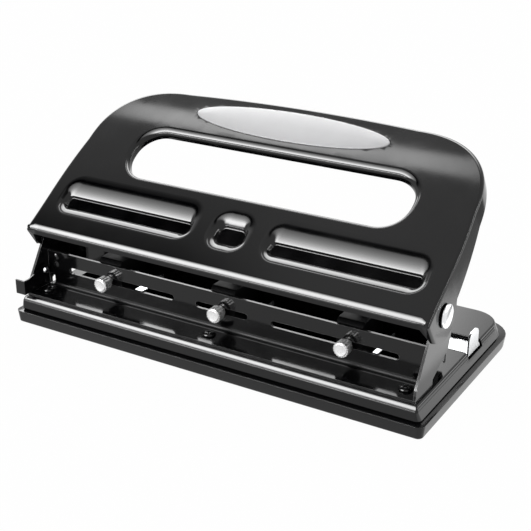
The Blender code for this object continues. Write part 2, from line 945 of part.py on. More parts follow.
def helix(radius, pitch_points, turns):
    """Points of a helix about Z, starting at height zero."""
    points = []
    total = turns * turn_points
    for step in range(total + 1):
        angle = 2 * math.pi * step / turn_points
        points.append(Vector((radius * math.cos(angle), radius * math.sin(angle), pitch_points * step)))
    return points


def wire(name, points, radius, material, origin):
    """Round wire along points, closed at both ends."""
    curve = bpy.data.curves.new(name, "CURVE")
    curve.dimensions = "3D"
    curve.bevel_depth = radius
    curve.bevel_resolution = 1
    curve.use_fill_caps = True
    spline = curve.splines.new("POLY")
    spline.points.add(len(points) - 1)
    for target, point in zip(spline.points, points):
        target.co = (*(point - Vector(origin)), 1.0)
    curve.materials.append(material)
    item = bpy.data.objects.new(name, curve)
    item.location = origin
    bpy.context.scene.collection.objects.link(item)
    return item


def least_wire_gap(points, radius, apart):
    """Smallest clear distance between points of a wire that are more than a turn's part away."""
    least = None
    for index, first in enumerate(points):
        for second in points[index + apart:]:
            clear = (first - second).length - 2 * radius
            least = clear if least is None else min(least, clear)
    return least


def build_pin_spring(name, x, material):
    """Return spring between the top of the head and the pin's cap."""
    low = head_top + gap + pin_spring_wire
    high = pin_cap_top - pin_cap_thickness - gap - pin_spring_wire
    rise = (high - low) / (pin_spring_turns * turn_points)
    shape = helix(pin_spring_radius, rise, pin_spring_turns)
    points = [point + Vector((x, pin_y, low)) for point in shape]
    lead_in = points[0] + Vector((0.0, -2 * pin_spring_wire, 0.0))
    lead_out = points[-1] + Vector((0.0, 2 * pin_spring_wire, 0.0))
    route = [lead_in] + points + [lead_out]
    clear = least_wire_gap(route, pin_spring_wire, turn_points - 2)
    print("pin spring %s least gap to itself %.5f m" % (name, clear))
    wire("pin_spring_" + name, route, pin_spring_wire, material, (x, pin_y, low))


def build_thumbscrew(name, x, material):
    """Knurled screw that clamps a head to the front plate."""
    work = bmesh.new()
    knob_back = knob_front + knob_length

    def knurl(shrink):
        points = []
        for index in range(knob_teeth * 2):
            angle = math.pi * index / knob_teeth
            radius = knob_radius - shrink - (knob_tooth_depth if index % 2 else 0.0)
            points.append((x + radius * math.cos(angle), slot_centre_height + radius * math.sin(angle)))
        return points

    def plain(radius):
        return circle((x, slot_centre_height), radius, knob_teeth * 2)

    collar_end = plate_front - gap
    levels = [
        (knurl(knob_chamfer), knob_front),
        (knurl(0.0), knob_front + knob_chamfer),
        (knurl(0.0), knob_back - knob_chamfer),
        (knurl(knob_chamfer), knob_back),
        (plain(collar_radius), knob_back),
        (plain(collar_radius), collar_end),
        (plain(thread_radius), collar_end),
        (plain(thread_radius), thread_end),
    ]
    rings = [add_ring(work, outline, height, along_y) for outline, height in levels]
    for lower, upper in zip(rings, rings[1:]):
        bridge(work, lower, upper)
    work.faces.new(rings[0])
    work.faces.new(rings[-1])
    origin = (x, plate_front, slot_centre_height)
    add_object("thumbscrew_" + name, finish_mesh("thumbscrew", work), material, origin)


# Lever

def lever_place(x, along, depth):
    """World place of a point of the lever's own plane."""
    y = lever_low_y + along * math.cos(lever_angle) + depth * math.sin(lever_angle)
    z = lever_low_z + along * math.sin(lever_angle) - depth * math.cos(lever_angle)
    return (x, y, z)


def pivot_in_lever():
    """The pivot's place in the lever's own plane: along the plate, and depth behind its face."""
    back = pivot_y - lever_low_y
    up = pivot_z - lever_low_z
    along = back * math.cos(lever_angle) + up * math.sin(lever_angle)
    depth = back * math.sin(lever_angle) - up * math.cos(lever_angle)
    return along, depth


def side_places():
    """Places along the lever's side, close together round the ear and wide apart above it."""
    ear_along, _ = pivot_in_lever()
    places = []
    for step in range(ear_points):
        angle = math.pi * step / ear_points
        place = ear_along - lever_ear_radius * math.cos(angle)
        if place > lever_low_edge + lever_low_corner + lever_sheet:
            places.append(place)
    start = ear_along + lever_ear_radius
    for step in range(side_points + 1):
        places.append(start + (lever_corner_start - start) * step / side_points)
    return places


def side_width(along):
    """Half the width of the plate at a place along its side: it draws in a little towards the corner."""
    share = (along - lever_side_taper_start) / (lever_corner_start - lever_side_taper_start)
    return lever_half_width - lever_side_taper * max(share, 0.0) ** 2


def lever_outline():
    """Outline of the plate, anticlockwise from the low left corner."""
    corner_centre = (lever_half_width - lever_low_corner, lever_low_edge + lever_low_corner)
    low = arc(corner_centre, lever_low_corner, -90.0, 0.0, low_corner_points)
    right = [(side_width(place), place) for place in side_places()]
    corner_foot = side_width(lever_corner_start) - lever_corner_width
    corner = []
    corner_height = lever_length - lever_top_bow - lever_corner_start
    for step in range(1, top_corner_points + 1):
        angle = math.radians(90.0) * step / top_corner_points
        across = math.cos(angle) ** (2 / lever_corner_power)
        rise = math.sin(angle) ** (2 / lever_corner_power)
        corner.append(
            (
                corner_foot + lever_corner_width * across,
                lever_corner_start + corner_height * rise,
            )
        )
    top = []
    for step in range(1, top_points):
        x = corner_foot * (1 - step / top_points)
        top.append((x, lever_length - lever_top_bow * (x / corner_foot) ** 2))
    half = low + right + corner + top
    mirrored = [(-x, along) for x, along in reversed(half)]
    return half + [(0.0, lever_length)] + mirrored


def flange_depth(x, along):
    """How far the turned-down edge reaches behind the face: a cut front, an ear, a long taper."""
    corner_start = lever_half_width - lever_low_corner * lip_corner_share
    above_edge = along - lever_low_edge
    if above_edge < lever_low_corner * lip_height_share and abs(x) < corner_start:
        return lever_lip
    taper = (along - lever_taper_start) / (lever_taper_end - lever_taper_start)
    taper = min(max(taper, 0.0), 1.0)
    depth = lever_taper_depth + (lever_top_lip - lever_taper_depth) * taper
    ear_along, ear_depth = pivot_in_lever()
    offset = along - ear_along
    if abs(offset) < lever_ear_radius:
        depth = max(depth, ear_depth + math.sqrt(lever_ear_radius ** 2 - offset ** 2))
    return min(depth, lever_front_depth + lever_front_slope * above_edge)


def edge_round(along):
    """Outer radius of the turned-down edge: small at the sides, large along the top."""
    blend = min(max((along - lever_corner_start) / (lever_length - lever_corner_start), 0.0), 1.0)
    return lever_side_round + (lever_top_round - lever_side_round) * blend


def lever_rings(work, outline, sheet):
    """Rings of one side of the sheet, from the face to the end of the turned-down edge."""
    rings = []
    radii = [edge_round(along) for _, along in outline]
    depths = [flange_depth(x, along) for x, along in outline]
    for step in range(round_steps, -1, -1):
        turn = math.radians(90.0) * step / round_steps
        shrink = [sheet + (radius - sheet) * (1 - math.cos(turn)) for radius in radii]
        moved = inset(outline, shrink)
        ring = []
        for point, radius in zip(moved, radii):
            depth = sheet + (radius - sheet) * (1 - math.sin(turn))
            ring.append(work.verts.new(lever_place(point[0], point[1], depth)))
        rings.append(ring)
    moved = inset(outline, sheet) if sheet else outline
    rings.append([work.verts.new(lever_place(p[0], p[1], depth)) for p, depth in zip(moved, depths)])
    return rings


def rounded_pocket(centre_x, centre, half_length, half_height, corner, shrink, steps=pocket_points):
    """Outline of a rounded rectangle in the lever's plane."""
    radius = max(corner - shrink, least_corner)
    return rounded_box(
        centre_x - half_length + shrink,
        centre_x + half_length - shrink,
        centre - half_height + shrink,
        centre + half_height - shrink,
        radius,
        radius,
        steps,
    )


def oval(shrink):
    """Outline of the grip's oval."""
    points = []
    for step in range(grip_points):
        angle = 2 * math.pi * step / grip_points
        points.append(
            (
                (grip_half_length - shrink) * math.cos(angle),
                grip_centre + (grip_half_height - shrink) * math.sin(angle),
            )
        )
    return points


def pan_rings(work, outline_at, slope, depth, sheet):
    """Rings of a pressed pan, from the lever's plane to its floor, for one side of the sheet."""
    rings = []
    for step in range(pocket_steps + 1):
        share = step / pocket_steps
        fall = (1 - math.cos(math.pi * share)) / 2
        steep = math.sin(math.pi * share)
        out = sheet * steep * min(depth / slope, 1.0)
        ring_depth = depth * fall + sheet
        outline = outline_at(slope * share - out)
        rings.append([work.verts.new(lever_place(p[0], p[1], ring_depth)) for p in outline])
    return rings


def edges_of(work, ring):
    """Edges that join the points of a ring."""
    found = []
    for index, vert in enumerate(ring):
        other = ring[(index + 1) % len(ring)]
        edge = work.edges.get((vert, other))
        if edge is None:
            edge = work.edges.new((vert, other))
        found.append(edge)
    return found


def build_lever(material):
    """Pressed plate with turned-down edges, a rimmed handhold, three pockets and a grip recess."""
    work = bmesh.new()
    outline = lever_outline()
    outer = lever_rings(work, outline, 0.0)
    inner = lever_rings(work, outline, lever_sheet)
    for group in (outer, inner):
        for first, second in zip(group, group[1:]):
            bridge(work, first, second)
    bridge(work, outer[-1], inner[-1])

    def hand(shrink):
        return rounded_pocket(0.0, hand_centre, hand_half_length, hand_half_height, hand_corner, shrink, hand_points)

    rim_outer = []
    rim_inner = []
    for step in range(round_steps + 1):
        turn = math.radians(90.0) * step / round_steps
        shrink = hand_rim_round * math.sin(turn) - hand_rim_round
        depth = hand_rim_round * (1 - math.cos(turn))
        rim_outer.append([work.verts.new(lever_place(p[0], p[1], depth)) for p in hand(shrink)])
        small = hand_rim_round - lever_sheet
        shrink = small * math.sin(turn) - hand_rim_round
        depth = lever_sheet + small * (1 - math.cos(turn))
        rim_inner.append([work.verts.new(lever_place(p[0], p[1], depth)) for p in hand(shrink)])
    rim_outer.append([work.verts.new(lever_place(p[0], p[1], hand_rim_depth)) for p in hand(0.0)])
    rim_inner.append([work.verts.new(lever_place(p[0], p[1], hand_rim_depth)) for p in hand(-lever_sheet)])
    for group in (rim_outer, rim_inner):
        for first, second in zip(group, group[1:]):
            bridge(work, first, second)
    bridge(work, rim_outer[-1], rim_inner[-1])

    def pocket_at(centre_x):
        def at(shrink):
            return rounded_pocket(
                centre_x, pocket_centre, pocket_half_length, pocket_half_height, pocket_corner, shrink
            )
        return at

    def small_pocket(shrink):
        return rounded_pocket(
            0.0, pocket_centre, small_pocket_half_length, small_pocket_half_height, small_pocket_corner, shrink
        )

    pans = (
        (pocket_at(-pocket_centre_x), pocket_slope, pocket_depth),
        (pocket_at(pocket_centre_x), pocket_slope, pocket_depth),
        (small_pocket, small_pocket_slope, small_pocket_depth),
        (oval, grip_recess_slope, grip_recess),
    )
    face_edges = edges_of(work, outer[0]) + edges_of(work, rim_outer[0])
    back_edges = edges_of(work, inner[0]) + edges_of(work, rim_inner[0])
    for outline_at, slope, depth in pans:
        for sheet, edge_list in ((0.0, face_edges), (lever_sheet, back_edges)):
            rings = pan_rings(work, outline_at, slope, depth, sheet)
            for first, second in zip(rings, rings[1:]):
                bridge(work, first, second)
            work.faces.new(rings[-1])
            edge_list += edges_of(work, rings[0])
    bmesh.ops.triangle_fill(work, use_beauty=True, edges=face_edges)
    bmesh.ops.triangle_fill(work, use_beauty=True, edges=back_edges)
    origin = (0.0, pivot_y, pivot_z)
    lever = add_object("lever", finish_mesh("lever", work), material, origin)
    holes = []
    for name, side in (("left", -1.0), ("right", 1.0)):
        ends = sorted((side * (lever_half_width - 2 * lever_sheet), side * (lever_half_width + lever_sheet)))
        ring = circle((pivot_y, pivot_z), cheek_hole_radius, pivot_hole_points)
        mesh = prism("hole", ring, ends[0], ends[1], along_x)
        holes.append(guide_object("lever_hole_" + name, mesh))
    cut(lever, holes)
    return lever


def build_grip(material):
    """Oval pad seated in its recess near the top of the lever."""
    work = bmesh.new()
    floor = grip_recess - gap
    top = -grip_proud
    levels = (
        (grip_recess_slope + gap, floor),
        (grip_recess_slope + gap, 0.0),
        (grip_recess_slope + gap + grip_edge, top + grip_edge),
        (grip_recess_slope + gap + 2 * grip_edge, top),
    )
    rings = []
    for shrink, depth in levels:
        rings.append([work.verts.new(lever_place(p[0], p[1], depth)) for p in oval(shrink)])
    for first, second in zip(rings, rings[1:]):
        bridge(work, first, second)
    work.faces.new(rings[0])
    work.faces.new(rings[-1])
    add_object("grip_inlay", finish_mesh("grip_inlay", work), material, lever_place(0.0, grip_centre, floor))


def build_press_bar(material):
    """Web with a round bead, welded under the pockets, that pushes the three pin caps."""
    cap_contact = pin_cap_top + gap
    bead_y = pin_y
    bead_z = cap_contact + bar_bead_radius
    dy = bead_y - lever_low_y
    dz = bead_z - lever_low_z
    bead_along = dy * math.cos(lever_angle) + dz * math.sin(lever_angle)
    bead_depth = dy * math.sin(lever_angle) - dz * math.cos(lever_angle)
    web_top = pocket_depth + lever_sheet + gap
    half = bar_web / 2
    reach = math.asin(half / bar_bead_radius)
    sweep_start = -90.0 + math.degrees(reach)
    sweep_end = 270.0 - math.degrees(reach)
    bead = arc((bead_along, bead_depth), bar_bead_radius, sweep_start, sweep_end, bar_bead_points)
    outline = [(bead_along + half, web_top)] + bead + [(bead_along - half, web_top)]
    work = bmesh.new()
    ends = []
    for x in (-bar_half_length, bar_half_length):
        ends.append([work.verts.new(lever_place(x, along, depth)) for along, depth in outline])
    bridge(work, ends[0], ends[1])
    work.faces.new(ends[0])
    work.faces.new(ends[1])
    origin = (0.0, bead_y, bead_z)
    add_object("press_bar", finish_mesh("press_bar", work), material, origin)


def build_pivot_pin(name, side, material):
    """Chrome-headed pin through the lever's flange and the cheek."""
    head_face = lever_half_width + gap
    inner_end = frame_half_length - frame_sheet - pivot_inner_reach
    profile = (
        (pivot_radius, side * inner_end),
        (pivot_radius, side * head_face),
        (pivot_head_radius, side * head_face),
        (pivot_head_radius, side * (head_face + pivot_head_thickness - pivot_head_chamfer)),
        (pivot_head_radius - pivot_head_chamfer, side * (head_face + pivot_head_thickness)),
    )
    mesh = turned("pivot_pin", profile, (pivot_y, pivot_z), along_x, pivot_points)
    add_object("pivot_pin_" + name, mesh, material, (side * head_face, pivot_y, pivot_z))


def build_lever_spring(name, side, material):
    """Wound spring round the inner end of a pivot pin, with a long leg up to the lever's underside."""
    start = frame_half_length - frame_sheet - gap - lever_spring_wire
    rise = lever_spring_length / (lever_spring_turns * turn_points)
    shape = helix(lever_spring_radius, rise, lever_spring_turns)
    points = []
    for point in shape:
        points.append(Vector((side * (start - point.z), pivot_y + point.x, pivot_z - point.y)))
    reach = pivot_y + lever_spring_radius - lever_low_y
    clear_depth = lever_sheet + gap + lever_spring_wire
    leg_top = lever_low_z + (reach * math.sin(lever_angle) - clear_depth) / math.cos(lever_angle)
    lead_in = Vector((points[0].x, points[0].y, leg_top))
    lead_out = points[-1] + Vector((0.0, 0.0, -lever_spring_leg))
    route = [lead_in] + points + [lead_out]
    clear = least_wire_gap(points, lever_spring_wire, turn_points - 2)
    print("lever spring %s least gap to itself %.5f m" % (name, clear))
    wire("lever_spring_" + name, route, lever_spring_wire, material, (side * start, pivot_y, pivot_z))


def build_all():
    """Build the whole machine."""
    clear_scene()
    black_steel = make_material("black_steel", (0.012, 0.012, 0.013), 0.16, 0.0)
    black_plastic = make_material("black_plastic", (0.015, 0.015, 0.016), 0.35, 0.0)
    chrome = make_material("chrome", (0.82, 0.83, 0.84), 0.12, 1.0)
    plated = make_material("plated_steel", (0.70, 0.71, 0.72), 0.25, 1.0)
    pale_plastic = make_material("pale_plastic", (0.55, 0.56, 0.57), 0.45, 0.0)
    spring_steel = make_material("spring_steel", (0.45, 0.45, 0.46), 0.30, 1.0)

    build_chip_tray(black_plastic)
    build_base_cover(black_steel)
    build_guide_trough(black_steel)
    build_paper_guide(plated)
    build_frame(black_steel)
    build_foot_screws(black_steel)
    build_plate_rivet(black_steel)
    build_latch(black_steel)
    build_latch_rivet(plated)
    places = (("left", -hole_spacing), ("middle", 0.0), ("right", hole_spacing))
    for name, x in places:
        build_head(name, x, black_steel)
        build_punch_pin(name, x, plated)
        build_pin_spring(name, x, spring_steel)
        build_thumbscrew(name, x, chrome)
    build_lever(black_steel)
    build_grip(pale_plastic)
    build_press_bar(black_steel)
    for name, side in (("left", -1.0), ("right", 1.0)):
        build_pivot_pin(name, side, chrome)
        build_lever_spring(name, side, spring_steel)


build_all()
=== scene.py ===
# %% [markdown]
# # A three-hole punch in gloss black steel
# This lesson dresses a measured model of a desk punch: a leaning lever pressed from one
# sheet, a bent frame under it, three sliding punch heads, and a long two-layer base.
# The measured model comes in as a fixed frame. Pieces that need finer form than the
# measured one are made anew and stand in for it; the others only get a finish.

# %% The measured model
import math

import bmesh
import bpy
from mathutils import Matrix, Vector
from mathutils.geometry import delaunay_2d_cdt


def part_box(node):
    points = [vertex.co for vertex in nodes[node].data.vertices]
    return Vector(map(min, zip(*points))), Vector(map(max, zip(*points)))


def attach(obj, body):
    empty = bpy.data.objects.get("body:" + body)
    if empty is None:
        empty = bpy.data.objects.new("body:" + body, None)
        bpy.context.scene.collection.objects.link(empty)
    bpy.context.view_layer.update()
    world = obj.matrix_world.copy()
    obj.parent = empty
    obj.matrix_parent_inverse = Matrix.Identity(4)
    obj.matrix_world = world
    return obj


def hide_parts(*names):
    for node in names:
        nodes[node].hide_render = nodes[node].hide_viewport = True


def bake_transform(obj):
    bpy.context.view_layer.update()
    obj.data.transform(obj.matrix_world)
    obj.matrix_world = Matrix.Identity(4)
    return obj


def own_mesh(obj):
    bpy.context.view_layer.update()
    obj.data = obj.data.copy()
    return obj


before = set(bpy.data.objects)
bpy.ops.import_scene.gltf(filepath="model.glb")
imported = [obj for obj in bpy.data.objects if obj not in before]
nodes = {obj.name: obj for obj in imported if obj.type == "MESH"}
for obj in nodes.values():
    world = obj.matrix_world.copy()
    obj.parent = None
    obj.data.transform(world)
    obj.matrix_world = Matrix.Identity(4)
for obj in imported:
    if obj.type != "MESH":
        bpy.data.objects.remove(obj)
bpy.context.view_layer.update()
scene = bpy.context.scene
print("pieces in the measured model:", len(nodes))

# %% [markdown]
# ## Camera
# The camera stands where the photographer stood: in front, to the right and a little
# above. Its direction comes from the edges of the base, and its distance from how much
# those edges draw together. A matrix of three directions turns it without any tilt.

# %% Camera
turn, rise = math.radians(31.0), math.radians(23.19)
back = Vector((math.sin(turn) * math.cos(rise), -math.cos(turn) * math.cos(rise), math.sin(rise)))
right = Vector((math.cos(turn), math.sin(turn), 0.0))
up = back.cross(right)
eye = Vector((0.4277, -0.7055, 0.4099))


def linked(name, data):
    """An object for the data, in the scene."""
    made = bpy.data.objects.new(name, data)
    scene.collection.objects.link(made)
    return made


camera = linked("camera", bpy.data.cameras.new("camera"))
camera.data.lens = 76.3
camera.data.sensor_width = 36.0
camera.matrix_world = Matrix.Translation(eye) @ Matrix((right, up, back)).transposed().to_4x4()
scene.camera = camera
scene.view_settings.view_transform = "Standard"

# %% [markdown]
# ## Finishes
# Every finish is a small tree of nodes. Baked enamel on steel is nearly black, with a
# skin that is not quite flat: painters call it orange peel. Its edges are rubbed a
# little paler. On the frame the paler edges are far brighter and are no wear: they are a
# painted highlight, standing in for the light that its edges catch. A Bevel node finds
# those edges, because it rounds the shading normal near a corner, and the normal of the
# face does not turn with it.

# %% A helper for trees of nodes
def fed(tree, node, inputs):
    """The node, after each input got its number or its link from a socket."""
    for name, value in inputs.items():
        if isinstance(value, bpy.types.NodeSocket):
            tree.links.new(value, node.inputs[name])
        else:
            node.inputs[name].default_value = value
    return node


def added(tree, kind, inputs=None, **settings):
    """A new node in the tree, with its settings and inputs."""
    node = tree.nodes.new(kind)
    for name, value in settings.items():
        setattr(node, name, value)
    return fed(tree, node, inputs or {})


def new_finish(name):
    """A node material, its tree, its shader, and the place of each point on the object."""
    made = bpy.data.materials.new(name)
    made.use_nodes = True
    tree = made.node_tree
    return made, tree, tree.nodes["Principled BSDF"], added(tree, "ShaderNodeTexCoord").outputs["Object"]


def noise(tree, place, scale, detail=2.0, stretch=None):
    """Soft random blotches of about 1/scale metres, stretched along an axis where asked."""
    if stretch:
        place = added(tree, "ShaderNodeMapping", {"Vector": place, "Scale": stretch}).outputs["Vector"]
    return added(tree, "ShaderNodeTexNoise", {"Vector": place, "Scale": scale, "Detail": detail}).outputs["Fac"]


def spread(tree, value, low, high, start=0.3, end=0.7, kind="LINEAR"):
    """The value moved from the span start..end to the span low..high."""
    inputs = {"Value": value, "From Min": start, "From Max": end, "To Min": low, "To Max": high}
    return added(tree, "ShaderNodeMapRange", inputs, interpolation_type=kind).outputs["Result"]


def joined(tree, operation, first, second):
    """Two values joined by one step of arithmetic."""
    return added(tree, "ShaderNodeMath", {0: first, 1: second}, operation=operation).outputs["Value"]


def worn_and_highlit_edges(tree, radius, patches):
    """1 on sharp edges, 0 on faces, broken up by patches: painted edge wear, and on the frame a painted
    highlight.
    """
    rounded = added(tree, "ShaderNodeBevel", {"Radius": radius}, samples=4).outputs["Normal"]
    plain = added(tree, "ShaderNodeNewGeometry").outputs["Normal"]
    dot = added(tree, "ShaderNodeVectorMath", {0: rounded, 1: plain}, operation="DOT_PRODUCT")
    edge = spread(tree, dot.outputs["Value"], 1.0, 0.0, 0.80, 0.98)
    return joined(tree, "MULTIPLY", edge, patches)


def two_tone(tree, share, first, second):
    """A colour between first and second."""
    inputs = {"Factor": share, "A": (*first, 1.0), "B": (*second, 1.0)}
    return added(tree, "ShaderNodeMix", inputs, data_type="RGBA").outputs["Result"]


def bumped(tree, height, distance):
    """The normal of a small relief."""
    return added(tree, "ShaderNodeBump", {"Height": height, "Distance": distance}).outputs["Normal"]

# %% Gloss enamel and moulded plastic
# Sizes of the orange peel, of the patches and edge radius of the paler edges (wear, and on the frame a painted
# highlight), and of the touches.
peel_scale, wear_and_highlight_patch_scale, wear_and_highlight_radius, touch_scale = 650.0, 140.0, 0.0005, 45.0


def enamel(name, colour, edge_wear_and_highlight, gloss, peel, index=1.38, wear_and_highlight_amount=0.55):
    """Baked enamel: dark, glossy, faintly rippled, paler on its edges: rubbed wear, and on the frame a painted
    highlight.
    """
    made, tree, shader, place = new_finish(name)
    patches = spread(tree, noise(tree, place, wear_and_highlight_patch_scale, 4.0), 0.0, wear_and_highlight_amount)
    touched = noise(tree, place, touch_scale, 5.0)
    fed(tree, shader, {
        "Base Color": two_tone(tree, worn_and_highlit_edges(tree, wear_and_highlight_radius, patches), colour, edge_wear_and_highlight),
        "Roughness": spread(tree, touched, gloss * 0.8, gloss * 1.35),
        "Normal": bumped(tree, noise(tree, place, peel_scale, 1.5), peel),
        "IOR": index,
    })
    return made


black, worn_black = (0.0028, 0.0028, 0.0031), (0.030, 0.030, 0.032)
base_black = (0.0032, 0.0032, 0.0036)
black_enamel = enamel("black enamel", black, worn_black, 0.085, 0.000004)
base_enamel = enamel("base enamel", base_black, worn_black, 0.10, 0.000005)
# The frame's edges are painted pale grey and strong: a painted highlight along its edges, not wear.
frame_enamel_painted_highlight = enamel("frame enamel with painted edge highlight", base_black, (0.38, 0.38, 0.38), 0.10, 0.000005, wear_and_highlight_amount=1.3)
head_black = enamel("head black", (0.0025, 0.0025, 0.0028), (0.012, 0.012, 0.013), 0.50, 0.000010, 1.10)
crease_black = enamel("crease black", black, (0.006, 0.006, 0.006), 0.34, 0.000005, 1.20)
tray_black = enamel("tray black", (0.0055, 0.0055, 0.0060), (0.026, 0.026, 0.028), 0.13, 0.000006)

# %% Bright metals
cloud_scale, grain_scale = 220.0, 900.0


def bright_metal(name, colour, dull, shine, grain, relief, metal=1.0):
    """Plated or turned metal: fine grain along one way, and slightly duller clouds."""
    made, tree, shader, place = new_finish(name)
    clouds = noise(tree, place, cloud_scale, 4.0)
    fed(tree, shader, {
        "Base Color": two_tone(tree, spread(tree, clouds, 0.0, 1.0), colour, dull),
        "Roughness": spread(tree, clouds, shine * 0.7, shine * 1.5),
        "Normal": bumped(tree, noise(tree, place, grain_scale, 2.0, grain), relief),
        "Metallic": metal,
    })
    return made


chrome = bright_metal("chrome", (0.86, 0.87, 0.88), (0.76, 0.77, 0.78), 0.10, (1, 6, 6), 0.000004)
satin = bright_metal("satin nickel", (0.88, 0.88, 0.88), (0.70, 0.70, 0.70), 0.28, (3, 3, 3), 0.000004, 0.80)
zinc = bright_metal("zinc plate", (0.76, 0.77, 0.78), (0.68, 0.69, 0.70), 0.22, (0.15, 3, 3), 0.0000015)
spring_steel = bright_metal("spring steel", (0.46, 0.47, 0.49), (0.34, 0.35, 0.37), 0.26, (2, 2, 2), 0.000004)

# %% Pale grip plastic
def grip_plastic(name):
    """Satin moulded plastic with a fine even grain, slightly dirtier in places."""
    made, tree, shader, place = new_finish(name)
    clouds = noise(tree, place, 30.0, 3.0)
    fed(tree, shader, {
        "Base Color": two_tone(tree, spread(tree, clouds, 0.0, 1.0), (0.58, 0.58, 0.59), (0.62, 0.62, 0.63)),
        "Roughness": spread(tree, noise(tree, place, 400.0, 3.0), 0.34, 0.46),
        "Normal": bumped(tree, noise(tree, place, 2600.0, 2.0), 0.00001),
        "IOR": 1.35,
    })
    return made


pale_grip = grip_plastic("pale grip")
print("finishes:", [m.name for m in bpy.data.materials if m.use_nodes])

# %% [markdown]
# ## Studio
# Gloss black shows little but its surroundings, so the light is made of shapes to be
# mirrored. The room is plain white, which turns the leaning face dark grey, because the
# enamel returns only a thirtieth of what falls on it. Brighter cards stand where the
# edges, pockets and bends of the lever look. They fade out at their borders, so that the
# highlights have soft ends.

# %% The room
room = bpy.data.worlds.new("room")
scene.world = room
room.use_nodes = True
tree = room.node_tree
tree.nodes.clear()


def background(strength):
    """A plain white background of a given strength."""
    inputs = {"Color": (1.0, 1.0, 1.0, 1.0), "Strength": strength}
    return added(tree, "ShaderNodeBackground", inputs).outputs["Background"]


def direct_rays(tree):
    """1 for what the camera, a mirror or a pane sees straight away, 0 for scattered light."""
    rays = added(tree, "ShaderNodeLightPath").outputs
    total = rays["Is Camera Ray"]
    for name in ("Is Glossy Ray", "Is Transmission Ray"):
        total = joined(tree, "MAXIMUM", total, rays[name])
    return total


def mixed(tree, share, first, second):
    """A shader between first and second. The share is a number or a socket."""
    return added(tree, "ShaderNodeMixShader", {"Fac": share, 1: first, 2: second}).outputs["Shader"]


room_light = 0.80
shown = mixed(tree, direct_rays(tree), background(room_light), background(1.0))
added(tree, "ShaderNodeOutputWorld", {"Surface": shown})

# %% The floor
def flat_mesh(name, corners, finish):
    """One four-sided sheet of the studio."""
    mesh = bpy.data.meshes.new(name)
    mesh.from_pydata(corners, [], [(0, 1, 2, 3)])
    mesh.materials.append(finish)
    made = linked(name, mesh)
    return made


def blank_finish(name):
    """A material with an empty tree, and that tree."""
    made = bpy.data.materials.new(name)
    made.use_nodes = True
    made.node_tree.nodes.clear()
    return made, made.node_tree


def glow(tree, strength):
    """A shader that shines by itself."""
    return added(tree, "ShaderNodeEmission", {"Strength": strength}).outputs[0]


def floor_finish():
    """White paper: seen almost white, and it still takes a shadow."""
    made, tree = blank_finish("paper floor")
    paper = added(tree, "ShaderNodeBsdfDiffuse", {"Color": (0.86, 0.86, 0.86, 1.0)}).outputs[0]
    seen = mixed(tree, glow_share, paper, glow(tree, 1.0))
    added(tree, "ShaderNodeOutputMaterial", {"Surface": mixed(tree, direct_rays(tree), paper, seen)})
    return made


glow_share = 0.98
flat_mesh("floor", [(-6, -6, 0), (6, -6, 0), (6, 6, 0), (-6, 6, 0)], floor_finish())

# %% [markdown]
# Where does a card hang, to be mirrored by a face of a given tilt? A mirror turns the
# line of sight about the face's normal. So the lesson works out that direction and puts
# the card on it. A tilt of 0 lies flat, 34 is the lever's own lean, 90 stands upright.

# %% Cards
def mirrored(tilt, distance, start=(0.0, -0.03, 0.08)):
    """The place that the camera sees in a mirror of that tilt."""
    a = math.radians(tilt)
    normal = Vector((0.0, -math.sin(a), math.cos(a)))
    way = 2.0 * normal.dot(back) * normal - back
    return Vector(start) + way * distance


def card_finish(name, levels, soft_across):
    """Glow that follows levels from the low edge (0) to the high edge (1), and fades out sideways.

    Levels below zero make a dark card: -1 is black, and 0 lets the room through.
    """
    made, tree = blank_finish(name)
    square = added(tree, "ShaderNodeUVMap", uv_map="square").outputs[0]
    parts = added(tree, "ShaderNodeSeparateXYZ", {0: square}).outputs
    brightest = max(level for _, level in levels)
    dark = brightest <= 0.0
    curve = added(tree, "ShaderNodeFloatCurve", {"Value": parts["Y"]})
    points = curve.mapping.curves[0].points
    while len(points) < len(levels):
        points.new(0.5, 0.5)
    for point, (place, level) in zip(points, levels):
        point.location = (place, -level if dark else level / brightest)
        point.handle_type = "AUTO_CLAMPED"
    curve.mapping.update()
    shown = curve.outputs["Value"]
    for low, high, start, end in ((0.0, 1.0, 0.0, soft_across), (1.0, 0.0, 1.0 - soft_across, 1.0)):
        faded = spread(tree, parts["X"], low, high, start, end, "SMOOTHSTEP")
        shown = joined(tree, "MULTIPLY", shown, faded)
    clear = added(tree, "ShaderNodeBsdfTransparent").outputs[0]
    added(tree, "ShaderNodeOutputMaterial", {"Surface": mixed(tree, shown, clear, glow(tree, brightest))})
    return made


def card(name, corners, levels, soft_across=0.25):
    """A card that only mirrors see. Corners: low left, low right, high right, high left."""
    finish = card_finish(name + " glow", levels, soft_across)
    made = flat_mesh(name, [tuple(corner) for corner in corners], finish)
    layer = made.data.uv_layers.new(name="square")
    for loop, place in zip(layer.data, ((0, 0), (1, 0), (1, 1), (0, 1))):
        loop.uv = place
    made.visible_camera = False
    made.visible_diffuse = False
    made.visible_shadow = False


def card_between(name, low_tilt, high_tilt, distance, half_length, levels, soft_across=0.25):
    """A card mirrored by the faces from low_tilt to high_tilt."""
    reach = Vector((half_length, 0.0, 0.0))
    low, high = mirrored(low_tilt, distance), mirrored(high_tilt, distance)
    card(name, (low - reach, low + reach, high + reach, high - reach), levels, soft_across)


def band(level, start, end):
    """Levels of a card that is even from start to end and fades to nothing at its long edges."""
    return [(0.0, 0.0), (start, level), (end, level), (1.0, 0.0)]


